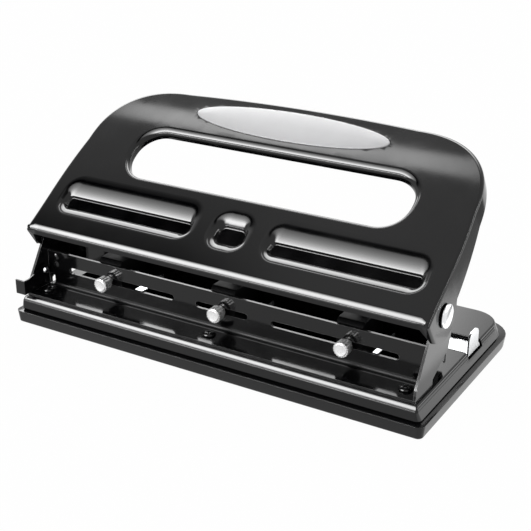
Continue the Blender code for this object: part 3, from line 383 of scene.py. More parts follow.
card_between("front panel", 61.5, 40.5, 1.5, 0.75,
             [(0.0, 3.0), (0.07, 14.0), (0.15, 28.0), (0.30, 33.0), (0.40, 30.0), (0.50, 21.0),
              (0.60, 14.0), (0.69, 9.0), (0.83, 5.0), (1.0, 2.0)])
card_between("low front panel", 86.0, 61.5, 1.7, 0.8,
             [(0.0, 0.0), (0.25, 2.4), (0.70, 3.0), (1.0, 3.0)])
card_between("crease strip", 68.0, 65.5, 1.3, 0.6, band(28.0, 0.2, 0.8))
card_between("dark gap", 41.0, 36.5, 1.45, 1.1, band(-1.0, 0.35, 0.65))
card_between("back strip", 6.0, 21.0, 1.4, 1.1, band(12.0, 0.25, 0.75))
card_between("back card", -12.0, 7.0, 1.7, 0.7, [(0.0, 0.0), (0.3, 4.6), (0.8, 5.0), (1.0, 0.0)], 0.35)
card("strip overhead",
     [(-1.25, 0.115, 1.35), (-0.05, 0.110, 1.35), (-0.05, 0.260, 1.35), (-1.25, 0.265, 1.35)],
     band(8.5, 0.38, 0.62), 0.3)
card("side card", [(0.195, 0.26, 0.004), (0.195, -0.16, 0.004), (0.262, -0.16, 0.004), (0.262, 0.26, 0.004)],
     band(1.8, 0.2, 0.6), 0.15)
card("dark floor card", [(0.21, 0.06, 0.004), (0.30, 0.05, 0.004), (0.44, 0.56, 0.004), (0.26, 0.60, 0.004)],
     [(0.0, 0.0), (0.15, -0.45), (0.5, -0.7), (1.0, -0.9)], 0.1)


low_y, low_z, lean = -0.0751, 0.0814, math.radians(34.0)
face_normal = Vector((0.0, -math.sin(lean), math.cos(lean)))


def over_face(x, along, distance=1.3):
    """The place that the camera sees mirrored in a point of the lever's face."""
    point = Vector((x, low_y + along * math.cos(lean), low_z + along * math.sin(lean)))
    view = (eye - point).normalized()
    return point + (2.0 * face_normal.dot(view) * face_normal - view) * distance


card("face shade",
     [over_face(-0.50, -0.06), over_face(0.10, -0.06), over_face(0.10, 0.12), over_face(-0.50, 0.12)],
     [(0.0, -0.75), (0.33, -0.72), (0.45, -0.45), (0.60, -0.28), (1.0, -0.10)], 0.3)
card("right back card", [(0.70, 1.70, 0.002), (1.80, 0.80, 0.002), (1.80, 0.80, 0.40), (0.70, 1.70, 0.40)],
     [(0.0, 3.5), (0.6, 3.5), (1.0, 0.0)], 0.2)


def hung_card(name, place, long_way, wide_way, levels, soft_across=0.25):
    """A card hung at a place, turned to two directions that also give its half sizes."""
    place, long_way, wide_way = Vector(place), Vector(long_way), Vector(wide_way)
    corners = [place + long_way * i + wide_way * j for i, j in ((-1, -1), (-1, 1), (1, 1), (1, -1))]
    card(name, corners, levels, soft_across)


hung_card("right strip", (1.47, 0.33, 0.73), (-0.205, 0.42, 0.18), (0.0185, 0.026, -0.0385),
          band(22.0, 0.2, 0.8))
hung_card("left back card", (-0.90, 0.61, 0.83), (0.19, 0.29, 0.0), (-0.13, 0.085, -0.26),
          band(9.0, 0.3, 0.7))
print("studio ready")

# %% [markdown]
# ## Pieces that keep their measured form
# Flat sheet parts only need softer edges. A copy of the measured mesh is merged,
# its flat faces are joined, and a narrow bevel catches the light along each edge.
# Weighted normals then let the large flat faces decide the shading, or a mirror finish
# would show every small corner as a streak.

# %% Softened copies
def merged_copy(name, node):
    """A copy of a measured node, with its corners merged and its flat faces joined."""
    work = bmesh.new()
    work.from_mesh(nodes[node].data)
    bmesh.ops.remove_doubles(work, verts=work.verts, dist=1e-6)
    bmesh.ops.dissolve_limit(
        work, angle_limit=math.radians(0.6), verts=work.verts, edges=work.edges, use_dissolve_boundaries=False
    )
    return closed_from(name, work)


def closed_from(name, work):
    """The mesh of a closed bmesh, with its faces turned outwards."""
    bmesh.ops.recalc_face_normals(work, faces=work.faces)
    return mesh_from(name, work)


def mesh_from(name, work):
    """The mesh of a bmesh, smooth all over."""
    for face in work.faces:
        face.smooth = True
    mesh = bpy.data.meshes.new(name)
    work.to_mesh(mesh)
    work.free()
    return mesh


def placed(name, mesh, finish, body, slot, *stands_for):
    """An object for a finished mesh: its finish, its body if it keeps to one, and its nodes."""
    if not mesh.materials:
        mesh.materials.append(finish)
    piece = linked(name, mesh)
    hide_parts(*stands_for)
    if body:
        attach(piece, body)
    return piece


def applied(holder):
    """The plain mesh that an object shows with its modifiers. The object goes."""
    bpy.context.view_layer.update()
    graph = bpy.context.evaluated_depsgraph_get()
    final = bpy.data.meshes.new_from_object(holder.evaluated_get(graph))
    bpy.data.objects.remove(holder)
    return final


def edged(mesh, width, segments=2, limit=32.0, cutters=()):
    """The mesh after cuts, a bevel along its sharp edges, and weighted normals."""
    holder = linked("holder", mesh)
    for cutter in cutters:
        cut = holder.modifiers.new("cut", "BOOLEAN")
        cut.solver = "EXACT"
        cut.object = cutter
    if width:
        bevel = holder.modifiers.new("edges", "BEVEL")
        bevel.width = width
        bevel.segments = segments
        bevel.limit_method = "ANGLE"
        bevel.angle_limit = math.radians(limit)
        bevel.use_clamp_overlap = True
    weighted = holder.modifiers.new("normals", "WEIGHTED_NORMAL")
    weighted.keep_sharp = True
    weighted.weight = 100
    final = applied(holder)
    for cutter in cutters:
        bpy.data.objects.remove(cutter)
    return final


crease_top, crease_tilts = 0.0278, (4.0, 78.0)


def dull_crease(mesh):
    """A duller finish in the bend between the foot and the front plate, where enamel pools."""
    mesh.materials.append(frame_enamel_painted_highlight)
    mesh.materials.append(crease_black)
    for face in mesh.polygons:
        tilt = math.degrees(math.atan2(-face.normal.y, face.normal.z))
        lengthwise = abs(face.normal.x) < 0.05
        if lengthwise and crease_tilts[0] < tilt < crease_tilts[1] and face.center.z < crease_top:
            face.material_index = 1


for node, body, slot, finish, width in (
    ("frame", "base", "black_steel", frame_enamel_painted_highlight, 0.0004),
    ("guide_trough", "base", "black_steel", base_enamel, 0.0002),
    ("paper_guide", "guide", "plated_steel", zinc, 0.0003),
    ("latch", "latch_plate", "black_steel", black_enamel, 0.0004),
    ("press_bar", "lever_arm", "black_steel", black_enamel, 0.0004),
):
    softer = edged(merged_copy(node + "_form", node), width)
    if node == "frame":
        dull_crease(softer)
    placed(node + "_form", softer, finish, body, slot, node)
    print(node, "has", len(softer.polygons), "faces")

# %% [markdown]
# The punch heads are black above, and bare bright steel below, where the paper slides in.
# Both finishes lie on one mesh: a face takes the bright one when it is low enough.

# %% Punch heads
jaw_top = 0.0284
sides = ("left", "middle", "right")
for side in sides:
    mesh = edged(merged_copy("punch_head_%s_form" % side, "punch_head_" + side), 0.0007, 3)
    mesh.materials.append(head_black)
    mesh.materials.append(zinc)
    for face in mesh.polygons:
        face.material_index = 1 if face.center.z < jaw_top else 0
    placed("punch_head_%s_form" % side, mesh, head_black, "head_" + side, "black_steel", "punch_head_" + side)

# %% [markdown]
# ## Base cover
# The cover is a shallow pressed shell. Its front shoulder is rounder than its sides, and
# that round edge draws the long bright line along the front of the base. Rings from the
# foot to the top make the shell, and two blocks cut out the opening under the heads and
# the gap for the guide's trough.

# %% Rounded outlines
def arc(cx, cy, radius, start, steps):
    """A quarter turn about a centre, anticlockwise from a start in degrees."""
    turns = [math.radians(start + 90 * i / steps) for i in range(steps + 1)]
    return [(cx + radius * math.cos(a), cy + radius * math.sin(a)) for a in turns]


def rounded_plan(x0, x1, y0, y1, front, back, steps=8):
    """Anticlockwise outline with one radius for the front corners and one for the back."""
    return (arc(x1 - front, y0 + front, front, -90, steps) + arc(x1 - back, y1 - back, back, 0, steps)
            + arc(x0 + back, y1 - back, back, 90, steps) + arc(x0 + front, y0 + front, front, 180, steps))


def walked(arcs, steps):
    """Points (run, fall) along arcs that each have a length and two tilts in degrees."""
    points = [(0.0, 0.0)]
    for arc_length, first, last in arcs:
        for i in range(steps):
            tilt = math.radians(first + (last - first) * (i + 0.5) / steps)
            (run, fall), step = points[-1], arc_length / steps
            points.append((run + step * math.cos(tilt), fall + step * math.sin(tilt)))
    return points


def ring_of(work, places):
    """New corners of a ring."""
    return [work.verts.new(place) for place in places]


def bridge(work, first, second):
    """Four-sided faces between two rings of the same count. The second lies outside or below."""
    count = len(first)
    for i in range(count):
        j = (i + 1) % count
        work.faces.new((first[i], second[i], second[j], first[j]))


def bridge_all(work, rings, turned_in=False):
    """Faces between each ring and the next one, facing the other way where turned in."""
    for first, second in zip(rings, rings[1:]):
        bridge(work, *((second, first) if turned_in else (first, second)))

# %% The cover's shell
cover_x, cover_front, cover_back, cover_low, cover_high = 0.1786, -0.0888, 0.0850, 0.0126, 0.0229
cover_front_corner, least_front_corner, cover_back_corner = 0.0042, 0.0012, 0.0250


def cover_plan(side, front, rear, z):
    """The cover's outline at one height, moved in by side, front and rear."""
    plan = rounded_plan(
        side - cover_x, cover_x - side, cover_front + front, cover_back - rear,
        max(cover_front_corner - side, least_front_corner), cover_back_corner - side,
    )
    return [(x, y, z) for x, y in plan]


def build_cover():
    """Closed shell: outer wall, shoulder, flat top, inner wall. The front shoulder has a sloping band."""
    front_shoulder = walked([(0.0014, 0, 46), (0.0034, 46, 60), (0.0013, 60, 86)], 4)
    whole = front_shoulder[-1][0]
    lean_front, lean_side, lean_back, shoulder_side = 0.0002, 0.0020, 0.0040, 0.0030
    work = bmesh.new()
    rings = [ring_of(work, cover_plan(0.0, 0.0, 0.0, cover_low))]
    count = len(front_shoulder)
    for i, (run, fall) in enumerate(reversed(front_shoulder)):
        a = math.radians(90.0 * i / (count - 1))
        rings.append(ring_of(work, cover_plan(
            lean_side + shoulder_side * (1 - math.cos(a)), lean_front + whole - run,
            lean_back + shoulder_side * (1 - math.cos(a)), cover_high - fall,
        )))
    wall = 0.0016
    inner = [
        ring_of(work, cover_plan(0.0075, 0.0075, 0.0090, cover_high - wall)),
        ring_of(work, cover_plan(wall + 0.0030, wall + 0.0006, wall + 0.0050, cover_high - 0.0060)),
        ring_of(work, cover_plan(wall, wall, wall, cover_low)),
    ]
    bridge_all(work, rings)
    bridge_all(work, inner)
    work.faces.new(rings[-1])
    work.faces.new(inner[0])
    bridge(work, inner[-1], rings[0])
    return closed_from("base_cover_shell", work)


def block(name, outline, z0, z1):
    """A closed block between two heights, for cutting."""
    work = bmesh.new()
    low = ring_of(work, [(x, y, z0) for x, y in outline])
    high = ring_of(work, [(x, y, z1) for x, y in outline])
    bridge(work, low, high)
    work.faces.new(low)
    work.faces.new(high)
    return linked(name, closed_from(name, work))


gap, past_end, above_all = 0.0003, 0.2, 0.05
low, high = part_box("guide_trough")
opening = rounded_plan(-0.1620, 0.1620, -0.0588, -0.0205, 0.0028, 0.0028, 4)
trough_gap = rounded_plan(low[0] - gap, past_end, low[1] - gap, high[1] + gap, 0.0001, 0.0001, 1)
cutters = (block("heads_opening", opening, 0.0, above_all),
           block("trough_gap", trough_gap, low[2] - gap, above_all))
cover_mesh = edged(build_cover(), 0.0003, 2, 40.0, cutters)
placed("base_cover_shell", cover_mesh, base_enamel, "base", "black_steel", "base_cover")
print("base cover has", len(cover_mesh.polygons), "faces")

# %% [markdown]
# The tray below it is a moulded pan. Its rim is a flat ledge with a sharp edge, and a low
# step inside holds the cover. The dark line between the two layers is that ledge in shade.

# %% Chip tray
def build_tray():
    """Rings from the foot over the wall, the ledge and the step to the hollow inside."""
    x, y, ledge, step_front, step_back = 0.1823, 0.0920, 0.0030, 0.0006, 0.0021
    work = bmesh.new()
    rings = []
    for inset, z in ((0.0024, 0.0), (0.0014, 0.0008), (0.0012, 0.0014), (0.00005, 0.0102), (0.0002, 0.0104),
                     (0.0049, 0.0104), (0.0049, 0.0123), (0.0083, 0.0123), (0.0084, 0.0148), (0.0086, 0.0150),
                     (0.0114, 0.0150), (0.0114, 0.0020)):
        front_in, back_in = (step_front, step_back) if inset > ledge else (0.0, 0.0)
        rings.append(ring_of(work, [(u, v, z) for u, v in rounded_plan(
            inset - x, x - inset, inset - y + front_in, y - back_in - inset,
            max(0.0055 - inset, 0.0008), max(0.0270 - inset, 0.01),
        )]))
    bridge_all(work, rings)
    work.faces.new(rings[0])
    work.faces.new(rings[-1])
    return closed_from("chip_tray_pan", work)


placed("chip_tray_pan", edged(build_tray(), 0.0), tray_black, "base", "black_plastic", "chip_tray")

# %% [markdown]
# ## The lever
# The lever is one pressed sheet. Its face leans at 34 degrees, its rim rolls over into a
# flange all round, and the press has pushed a handhold and three pockets into it. A mesh
# of contour rings follows each pressed form, as height lines do on a map, so the mirror
# finish runs smoothly over them. The flat rest of the face is filled by a Delaunay mesh.

# %% Sizes of the lever
half_width = 0.1765
length, top_bow, corner_start, corner_width, corner_power = 0.1652, 0.0035, 0.0950, 0.0700, 2.3
low_edge, low_corner = -0.0047, 0.0030
side_taper, taper_start = 0.0027, 0.0450
pivot_y, pivot_z = -0.0490, 0.0760
ear_radius = 0.0200
bend_start, bend = 0.1120, 1.9
sheet = 0.0016
flange_low, flange_high, flange_from, flange_to = 0.0262, 0.0130, 0.0410, 0.1200
flange_front_depth, flange_front_slope = 0.0197, 1.4


def on_lever(x, along, depth=0.0):
    """Place of a point of the face: along the slope, and depth behind the face. The top bends back."""
    past = max(along - bend_start, 0.0)
    flat = min(along, bend_start)
    turned = past * bend
    run = flat + (math.sin(turned) / bend if past else 0.0) - depth * math.sin(turned)
    fall = ((1.0 - math.cos(turned)) / bend if past else 0.0) + depth * math.cos(turned)
    return Vector((
        x,
        low_y + run * math.cos(lean) + fall * math.sin(lean),
        low_z + run * math.sin(lean) - fall * math.cos(lean),
    ))


ear_along = (pivot_y - low_y) * math.cos(lean) + (pivot_z - low_z) * math.sin(lean)
ear_depth = (pivot_y - low_y) * math.sin(lean) - (pivot_z - low_z) * math.cos(lean)

# %% Outline and edge
low_share, straight_end, least_straight = 0.96, 0.0420, 0.0004


def lever_outline():
    """Outline of the face, anticlockwise from the middle of the low edge."""
    half = [(half_width * low_share * i / 40, low_edge) for i in range(41)]
    half += arc(half_width - low_corner, low_edge + low_corner, low_corner, -90, 5)[1:]
    start = half[-1][1]
    for i in range(1, 25):
        half.append((half_width, start + (straight_end - start) * i / 24))
    for i in range(1, 15):
        along = straight_end + (corner_start - straight_end) * i / 14
        drawn_in = max((along - taper_start) / (corner_start - taper_start), 0.0)
        half.append((half_width - side_taper * drawn_in ** 2, along))
    height = length - top_bow - corner_start
    half_top = half_width - side_taper - corner_width
    for i in range(1, 33):
        a = math.radians(90.0) * i / 32
        half.append((
            half_top + corner_width * math.cos(a) ** (2 / corner_power),
            corner_start + height * math.sin(a) ** (2 / corner_power),
        ))
    for i in range(1, 25):
        x = half_top * (1 - i / 24)
        half.append((x, length - top_bow * (x / half_top) ** 2))
    return half + [(-x, along) for x, along in reversed(half[1:-1])]


def smooth(value):
    """Smooth step from 0 to 1."""
    value = min(max(value, 0.0), 1.0)
    return value * value * (3 - 2 * value)


def flange_depth(along):
    """How deep the turned-down edge reaches: a lip, an ear round the pivot, a long taper."""
    share = (along - flange_from) / (flange_to - flange_from)
    depth = flange_low + (flange_high - flange_low) * min(max(share, 0.0), 1.0)
    offset = along - ear_along
    if abs(offset) < ear_radius:
        depth = max(depth, ear_depth + math.sqrt(ear_radius ** 2 - offset ** 2))
    return min(depth, flange_front_depth + flange_front_slope * (along - low_edge))


def edge_profile(arcs, depth, steps=6):
    """Points (run, depth) outwards from the face: the arcs, then straight on at the last tilt."""
    points = walked(arcs, steps)
    run, fall = points[-1]
    depth = max(depth, fall + least_straight)
    return points + [(run + (depth - fall) / math.tan(math.radians(arcs[-1][2])), depth)]


def between(first, second, share):
    """Arcs between two lists of arcs."""
    return [tuple(a + (b - a) * share for a, b in zip(one, two)) for one, two in zip(first, second)]


def outward(points):
    """Unit outward normals of a closed anticlockwise outline."""
    normals = []
    for i in range(len(points)):
        run = Vector(points[(i + 1) % len(points)]) - Vector(points[i - 1])
        normals.append(Vector((run.y, -run.x)).normalized())
    return normals

# %% The face between the rings
def rounded_box(x0, x1, low, high, radius, steps=8, side=14):
    """Outline of a rounded rectangle with points along its long sides too."""
    radius = min(radius, (x1 - x0) / 2 - 1e-5, (high - low) / 2 - 1e-5)
    corners = [arc(cx, cy, radius, start, steps) for cx, cy, start in (
        (x1 - radius, low + radius, -90), (x1 - radius, high - radius, 0),
        (x0 + radius, high - radius, 90), (x0 + radius, low + radius, 180),
    )]
    points = []
    for index, corner in enumerate(corners):
        (x, y), (next_x, next_y) = corner[-1], corners[(index + 1) % 4][0]
        count = side if index in (1, 3) else 2
        points += corner
        points += [(x + (next_x - x) * (i / count), y + (next_y - y) * (i / count)) for i in range(1, count)]
    return points


def inside(point, outline):
    """True where the point is inside the closed outline."""
    x, y = point
    found = False
    count = len(outline)
    for i in range(count):
        x1, y1 = outline[i]
        x2, y2 = outline[(i + 1) % count]
        if (y1 > y) != (y2 > y) and x < (x2 - x1) * (y - y1) / (y2 - y1) + x1:
            found = not found
    return found


def fill_face(work, border, holes, spacing, place):
    """Delaunay mesh of the flat face between the border and the holes, with a grid of inner points."""
    points, edges = [], []
    for loop in [border] + holes:
        start = len(points)
        points += [Vector(p) for p in loop]
        edges += [(start + i, start + (i + 1) % len(loop)) for i in range(len(loop))]
    fixed = list(points)
    xs = [p[0] for p in border]
    ys = [p[1] for p in border]
    columns = int((max(xs) - min(xs)) / spacing)
    rows = int((max(ys) - min(ys)) / spacing)
    for i in range(1, columns):
        for j in range(1, rows):
            p = (min(xs) + i * spacing, min(ys) + j * spacing)
            if not inside(p, border) or any(inside(p, h) for h in holes):
                continue
            if min((p[0] - q[0]) ** 2 + (p[1] - q[1]) ** 2 for q in fixed) < (spacing * 0.7) ** 2:
                continue
            points.append(Vector(p))
    out_points, _, faces, _, _, _ = delaunay_2d_cdt(points, edges, [], 0, 1e-7)
    made = ring_of(work, [place(p.x, p.y) for p in out_points])
    for face in faces:
        centre = sum((out_points[i] for i in face), Vector((0.0, 0.0))) / len(face)
        if inside(centre, border) and not any(inside(centre, h) for h in holes):
            work.faces.new([made[i] for i in face])

# %% Pressed pockets
def side_of_pocket(pieces):
    """Table (run, depth) of one side, from pieces (run, tilt at the start, tilt at the end) in degrees."""
    table, run, fall = [(0.0, 0.0)], 0.0, 0.0
    for length_now, first, last in pieces:
        for i in range(60):
            angle = math.radians(first + (last - first) * (i + 0.5) / 60)
            run += length_now / 60
            fall += length_now / 60 * math.tan(angle)
            table.append((run, fall))
    return table


def reach(table, share):
    """How far a side has moved in at a share of its whole depth."""
    fall = share * table[-1][1]
    for (r0, f0), (r1, f1) in zip(table, table[1:]):
        if f1 >= fall:
            return r0 + (r1 - r0) * (fall - f0) / max(f1 - f0, 1e-12)
    return table[-1][0]


def pocket_levels(top, low, end, depth):
    """Height lines: how far the top, low and end sides have moved in, close together at both ends."""
    sides = [side_of_pocket(pieces) for pieces in (top, low, end)]
    found = []
    for i in range(41):
        t = i / 40
        share = 0.5 * (2 * t) ** 2 if t < 0.5 else 1.0 - 0.5 * (2 - 2 * t) ** 1.5
        found.append(tuple(reach(side, share) for side in sides) + (share * depth,))
    return found


corner_shrink, least_corner, floor_lean = 0.42, 0.0012, 0.085


def press_pocket(work, x0, x1, low, high, corner, levels):
    """A pocket's rings and floor. Returns its outline on the face."""
    rings, outlines = [], []
    for top_in, low_in, end_in, fall in levels:
        radius = max(corner - (top_in + low_in) * corner_shrink, least_corner)
        outlines.append(rounded_box(x0 + end_in, x1 - end_in, low + low_in, high - top_in, radius))
        lean_now = floor_lean * fall / levels[-1][-1]
        rings.append(ring_of(work, [
            on_lever(x, along, fall + lean_now * ((low + high) / 2 - along)) for x, along in outlines[-1]
        ]))
    bridge_all(work, rings, turned_in=True)
    work.faces.new(rings[-1])
    return outlines[0]

# %% The lever's edges and handhold
side_arcs = [(0.0003, 0, 2), (0.0013, 2, 28), (0.0031, 28, 89)]
top_arcs = [(0.0004, 0, 3), (0.0014, 3, 28), (0.0032, 28, 89)]
low_arcs = [(0.0016, 0, 16), (0.0030, 16, 26), (0.0016, 26, 46)]
low_lip, lip_end, lip_fade = 0.0044, 0.0012, 0.0060


def edge_rings(work, outline, profile_at, way):
    """Rings of an edge turned down outwards (1) or into a hole (-1). Returns the flat face's border."""
    columns, border = [], []
    for (x, along), normal in zip(outline, outward(outline)):
        profile = profile_at(x, along, normal)
        whole = profile[-1][0]
        spots = [(x - way * normal.x * (whole - run), along - way * normal.y * (whole - run), fall)
                 for run, fall in profile]
        columns.append([on_lever(*spot) for spot in spots])
        border.append(spots[0][:2])
    bridge_all(work, [ring_of(work, places) for places in zip(*columns)], turned_in=way < 0)
    return border


def outer_edge(x, along, normal):
    """Profile of the outer edge at a point of the outline: a lip in front, a flange elsewhere."""
    on_low_edge = along < low_edge + 0.001
    lip_share = smooth((half_width - lip_end - abs(x)) / lip_fade) if on_low_edge else 0.0
    top_share = smooth((along - corner_start) / (length - corner_start))
    depth = flange_depth(along)
    depth += (low_lip - depth) * smooth(lip_share * 1.4)
    return edge_profile(between(between(side_arcs, top_arcs, top_share), low_arcs, lip_share), depth)


low_rim = [(0.0008, 0, 4), (0.0014, 4, 26), (0.0034, 26, 89)]
high_rim = [(0.0014, 0, 11), (0.0034, 11, 27), (0.0058, 27, 89)]


def handhold_rim(x, along, normal):
    """Profile of the rolled rim at a point of the handhold, wider where it faces up the slope."""
    upper = smooth((normal.y + 0.35) / 1.25)
    return edge_profile(between(low_rim, high_rim, upper), 0.0070)

# %% The lever's mesh
grip_along, grip_x, grip_half = 0.1418, 0.0880, 0.0163


def oval(shrink, count=96):
    """The grip's oval outline, moved in by shrink."""
    turns = [2 * math.pi * i / count for i in range(count)]
    return [((grip_x - shrink) * math.cos(a), grip_along + (grip_half - shrink) * math.sin(a)) for a in turns]


def oval_rings(work, sizes):
    """Rings of ovals from (shrink, depth) pairs, with faces between them."""
    rings = [ring_of(work, [on_lever(x, along, depth) for x, along in oval(shrink)]) for shrink, depth in sizes]
    bridge_all(work, rings, turned_in=True)
    return rings


def build_lever():
    """The pressed plate as one sheet without thickness."""
    work = bmesh.new()
    border = edge_rings(work, lever_outline(), outer_edge, 1)
    hole = rounded_box(-0.1235, 0.1260, 0.0670, 0.1140, 0.0220, steps=14, side=40)
    holes = [edge_rings(work, hole, handhold_rim, -1)]
    upper = [(0.0195, 2, 16), (0.0002, 16, 60), (0.0004, 60, 60), (0.0009, 60, 4)]
    lower = [(0.0085, 0, 24), (0.0018, 24, 58), (0.0004, 58, 58)]
    ends = [(0.0050, 0, 30), (0.0022, 30, 60), (0.0012, 60, 60)]
    long_levels = pocket_levels(upper, lower, ends, 0.0050)
    upper = [(0.0145, 0, 34), (0.0002, 34, 62), (0.0004, 62, 62), (0.0012, 60, 4)]
    small_levels = pocket_levels(upper, lower, ends, 0.0056)
    holes.append(press_pocket(work, -0.1645, -0.0285, 0.0162, 0.0575, 0.0160, long_levels))
    holes.append(press_pocket(work, 0.0285, 0.1645, 0.0156, 0.0566, 0.0160, long_levels))
    holes.append(press_pocket(work, -0.0195, 0.0195, 0.0158, 0.0565, 0.0160, small_levels))
    recess = oval_rings(work, ((0.0, 0.0), (0.0002, 0.0001), (0.0004, 0.0005), (0.0005, 0.0012)))
    work.faces.new(recess[-1])
    fill_face(work, border, holes + [oval(0.0)], 0.0045, on_lever)
    bmesh.ops.remove_doubles(work, verts=work.verts, dist=2e-6)
    return mesh_from("lever_shell", work)


def thickened(mesh, wall):
    """The sheet with its thickness on the hidden side, and sharp edges marked for the shading.

    At the tight low corners the hidden side folds up through the face, so it is pressed back to it.
    """
    holder = linked("holder", mesh)
    solid = holder.modifiers.new("sheet", "SOLIDIFY")
    solid.thickness = wall
    solid.offset = -1.0
    final = applied(holder)
    work = bmesh.new()
    work.from_mesh(final)
    for vert in work.verts:
        proud = (vert.co - on_lever(0.0, 0.0)).dot(face_normal)
        if proud > 0.0:
            vert.co -= proud * face_normal
    for made_edge in work.edges:
        if len(made_edge.link_faces) == 2:
            made_edge.smooth = made_edge.calc_face_angle(0.0) < math.radians(50.0)
    work.to_mesh(final)
    work.free()
    return final


lever_mesh = edged(thickened(build_lever(), sheet), 0.0)
placed("lever_shell", lever_mesh, black_enamel, "lever_arm", "black_steel", "lever")
print("lever faces:", len(lever_mesh.polygons))

# %% [markdown]
# ## Grip inlay
# The pale oval is a moulded plate clipped into a shallow recess. It follows the bend of
# the lever's top, because the same function places its rings, and it is crowned a little.

# %% Grip inlay
def build_grip():
    """Rings from the hidden foot over a small round to the crowned top."""
    work = bmesh.new()
    rings = oval_rings(work, (
        (0.0132, 0.0010), (0.0010, 0.0010), (0.0008, 0.0006), (0.0008, -0.0001), (0.0009, -0.0004),
        (0.0012, -0.0006), (0.0020, -0.0007), (0.0045, -0.0009), (0.0085, -0.0011), (0.0132, -0.0012),
    ))
    work.faces.new(list(reversed(rings[0])))
    work.faces.new(rings[-1])
    return closed_from("grip_oval", work)


placed("grip_oval", build_grip(), pale_grip, "lever_arm", "pale_plastic", "grip_inlay")

# %% [markdown]
# ## Turned pieces
# Screws and pins are turned on a lathe, so each is a profile swept round an axis. The
# knurl on a thumbscrew is one small ridge repeated round the rim: Geometry Nodes put it
# on the corners of a circle, and turn the copies into one plain mesh.

# %% Turned profiles
def turned(name, profile, centre, axis, steps=40):
    """A closed turned piece from (radius, place along the axis) pairs, ending on the axis."""
    work = bmesh.new()

    def spot(radius, angle, along):
        u, v = radius * math.cos(angle), radius * math.sin(angle)
        if axis == "x":
            return (along, centre[1] + u, centre[2] + v)
        if axis == "y":
            return (centre[0] + u, along, centre[2] + v)
        return (centre[0] + u, centre[1] + v, along)

    rings = [ring_of(work, [spot(max(r, 1e-6), 2 * math.pi * i / steps, along) for i in range(steps)])
             for r, along in profile]
    bridge_all(work, rings)
    bmesh.ops.remove_doubles(work, verts=work.verts, dist=5e-6)
    return closed_from(name, work)

# %% Pivot pins
softened, ways = 0.0001, (("left", -1), ("right", 1))
profile = [(0.0, 0.1622), (0.0038, 0.1622), (0.0040, 0.1625), (0.0040, 0.1768), (0.0085, 0.1768),
           (0.0089, 0.1770), (0.0090, 0.1775), (0.0089, 0.1783), (0.0084, 0.1789), (0.0074, 0.1794),
           (0.0056, 0.1797), (0.0028, 0.1799), (0.0, 0.1800)]
for side, way in ways:
    mirrored_profile = [(radius, along * way) for radius, along in profile]
    mesh = turned("pivot_" + side, mirrored_profile, (0.0, pivot_y, pivot_z), "x", 48)
    mesh = edged(mesh, softened, 1, 50.0)
    placed("pivot_" + side, mesh, chrome, "lever_arm", "chrome", "pivot_pin_" + side)
print("pivot pin has", len(mesh.polygons), "faces")

# %% A helper for Geometry Nodes
def empty_tree(name, inputs):
    """A geometry tree with named inputs. Returns the tree, its input node and its output node."""
    tree = bpy.data.node_groups.new(name, "GeometryNodeTree")
    tree.interface.new_socket("Geometry", in_out="INPUT", socket_type="NodeSocketGeometry")
    for label, kind, value in inputs:
        made = tree.interface.new_socket(label, in_out="INPUT", socket_type=kind)
        if value is not None:
            made.default_value = value
    tree.interface.new_socket("Geometry", in_out="OUTPUT", socket_type="NodeSocketGeometry")
    return tree, tree.nodes.new("NodeGroupInput"), tree.nodes.new("NodeGroupOutput")


def grown(name, tree, values, points):
    """The plain mesh that a tree makes from a few points. Inputs are set by their identifiers."""
    mesh = bpy.data.meshes.new(name)
    mesh.from_pydata(points, [], [])
    holder = linked(name + "_holder", mesh)
    maker = holder.modifiers.new("grow", "NODES")
    maker.node_group = tree
    for item in tree.interface.items_tree:
        if item.in_out == "INPUT" and item.name in values:
            maker[item.identifier] = values[item.name]
    final = applied(holder)
    final.name = name
    return final


def painted(tree, given, made, copies):
    """The tree with its last nodes: copies made real, and painted with the finish."""
    real = added(tree, "GeometryNodeRealizeInstances", {"Geometry": copies}).outputs["Geometry"]
    inputs = {"Geometry": real, "Material": given.outputs["Finish"]}
    fed(tree, made, {"Geometry": added(tree, "GeometryNodeSetMaterial", inputs).outputs["Geometry"]})
    return tree

# %% The knurl
def knurl_tree():
    """Ridges on the corners of a circle, turned outwards, laid on the screw's rim."""
    tree, given, made = empty_tree("knurl", [
        ("Ridges", "NodeSocketInt", 18), ("Rim", "NodeSocketFloat", 0.0051),
        ("Ridge", "NodeSocketFloat", 0.0009), ("Length", "NodeSocketFloat", 0.0070),
        ("Place", "NodeSocketVector", None), ("Finish", "NodeSocketMaterial", None),
    ])
    sizes = given.outputs
    circle = added(tree, "GeometryNodeMeshCircle", {"Vertices": sizes["Ridges"], "Radius": sizes["Rim"]})
    ridge = added(tree, "GeometryNodeMeshCylinder",
                  {"Vertices": 6, "Radius": sizes["Ridge"], "Depth": sizes["Length"]})
    place = added(tree, "GeometryNodeInputPosition").outputs[0]
    turn_out = added(tree, "FunctionNodeAlignRotationToVector", {"Vector": place}, axis="X")
    copies = added(tree, "GeometryNodeInstanceOnPoints", {
        "Points": circle.outputs["Mesh"], "Instance": ridge.outputs["Mesh"],
        "Rotation": turn_out.outputs["Rotation"],
    })
    move = added(tree, "GeometryNodeTransform", {
        "Geometry": copies.outputs["Instances"], "Translation": sizes["Place"],
        "Rotation": (math.radians(90.0), 0.0, 0.0),
    })
    return painted(tree, given, made, move.outputs["Geometry"])

# %% Thumbscrews
def middle_of(node):
    """The middle of a node's box, and its lowest corner."""
    low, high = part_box(node)
    return [(a + b) / 2 for a, b in zip(low, high)], low


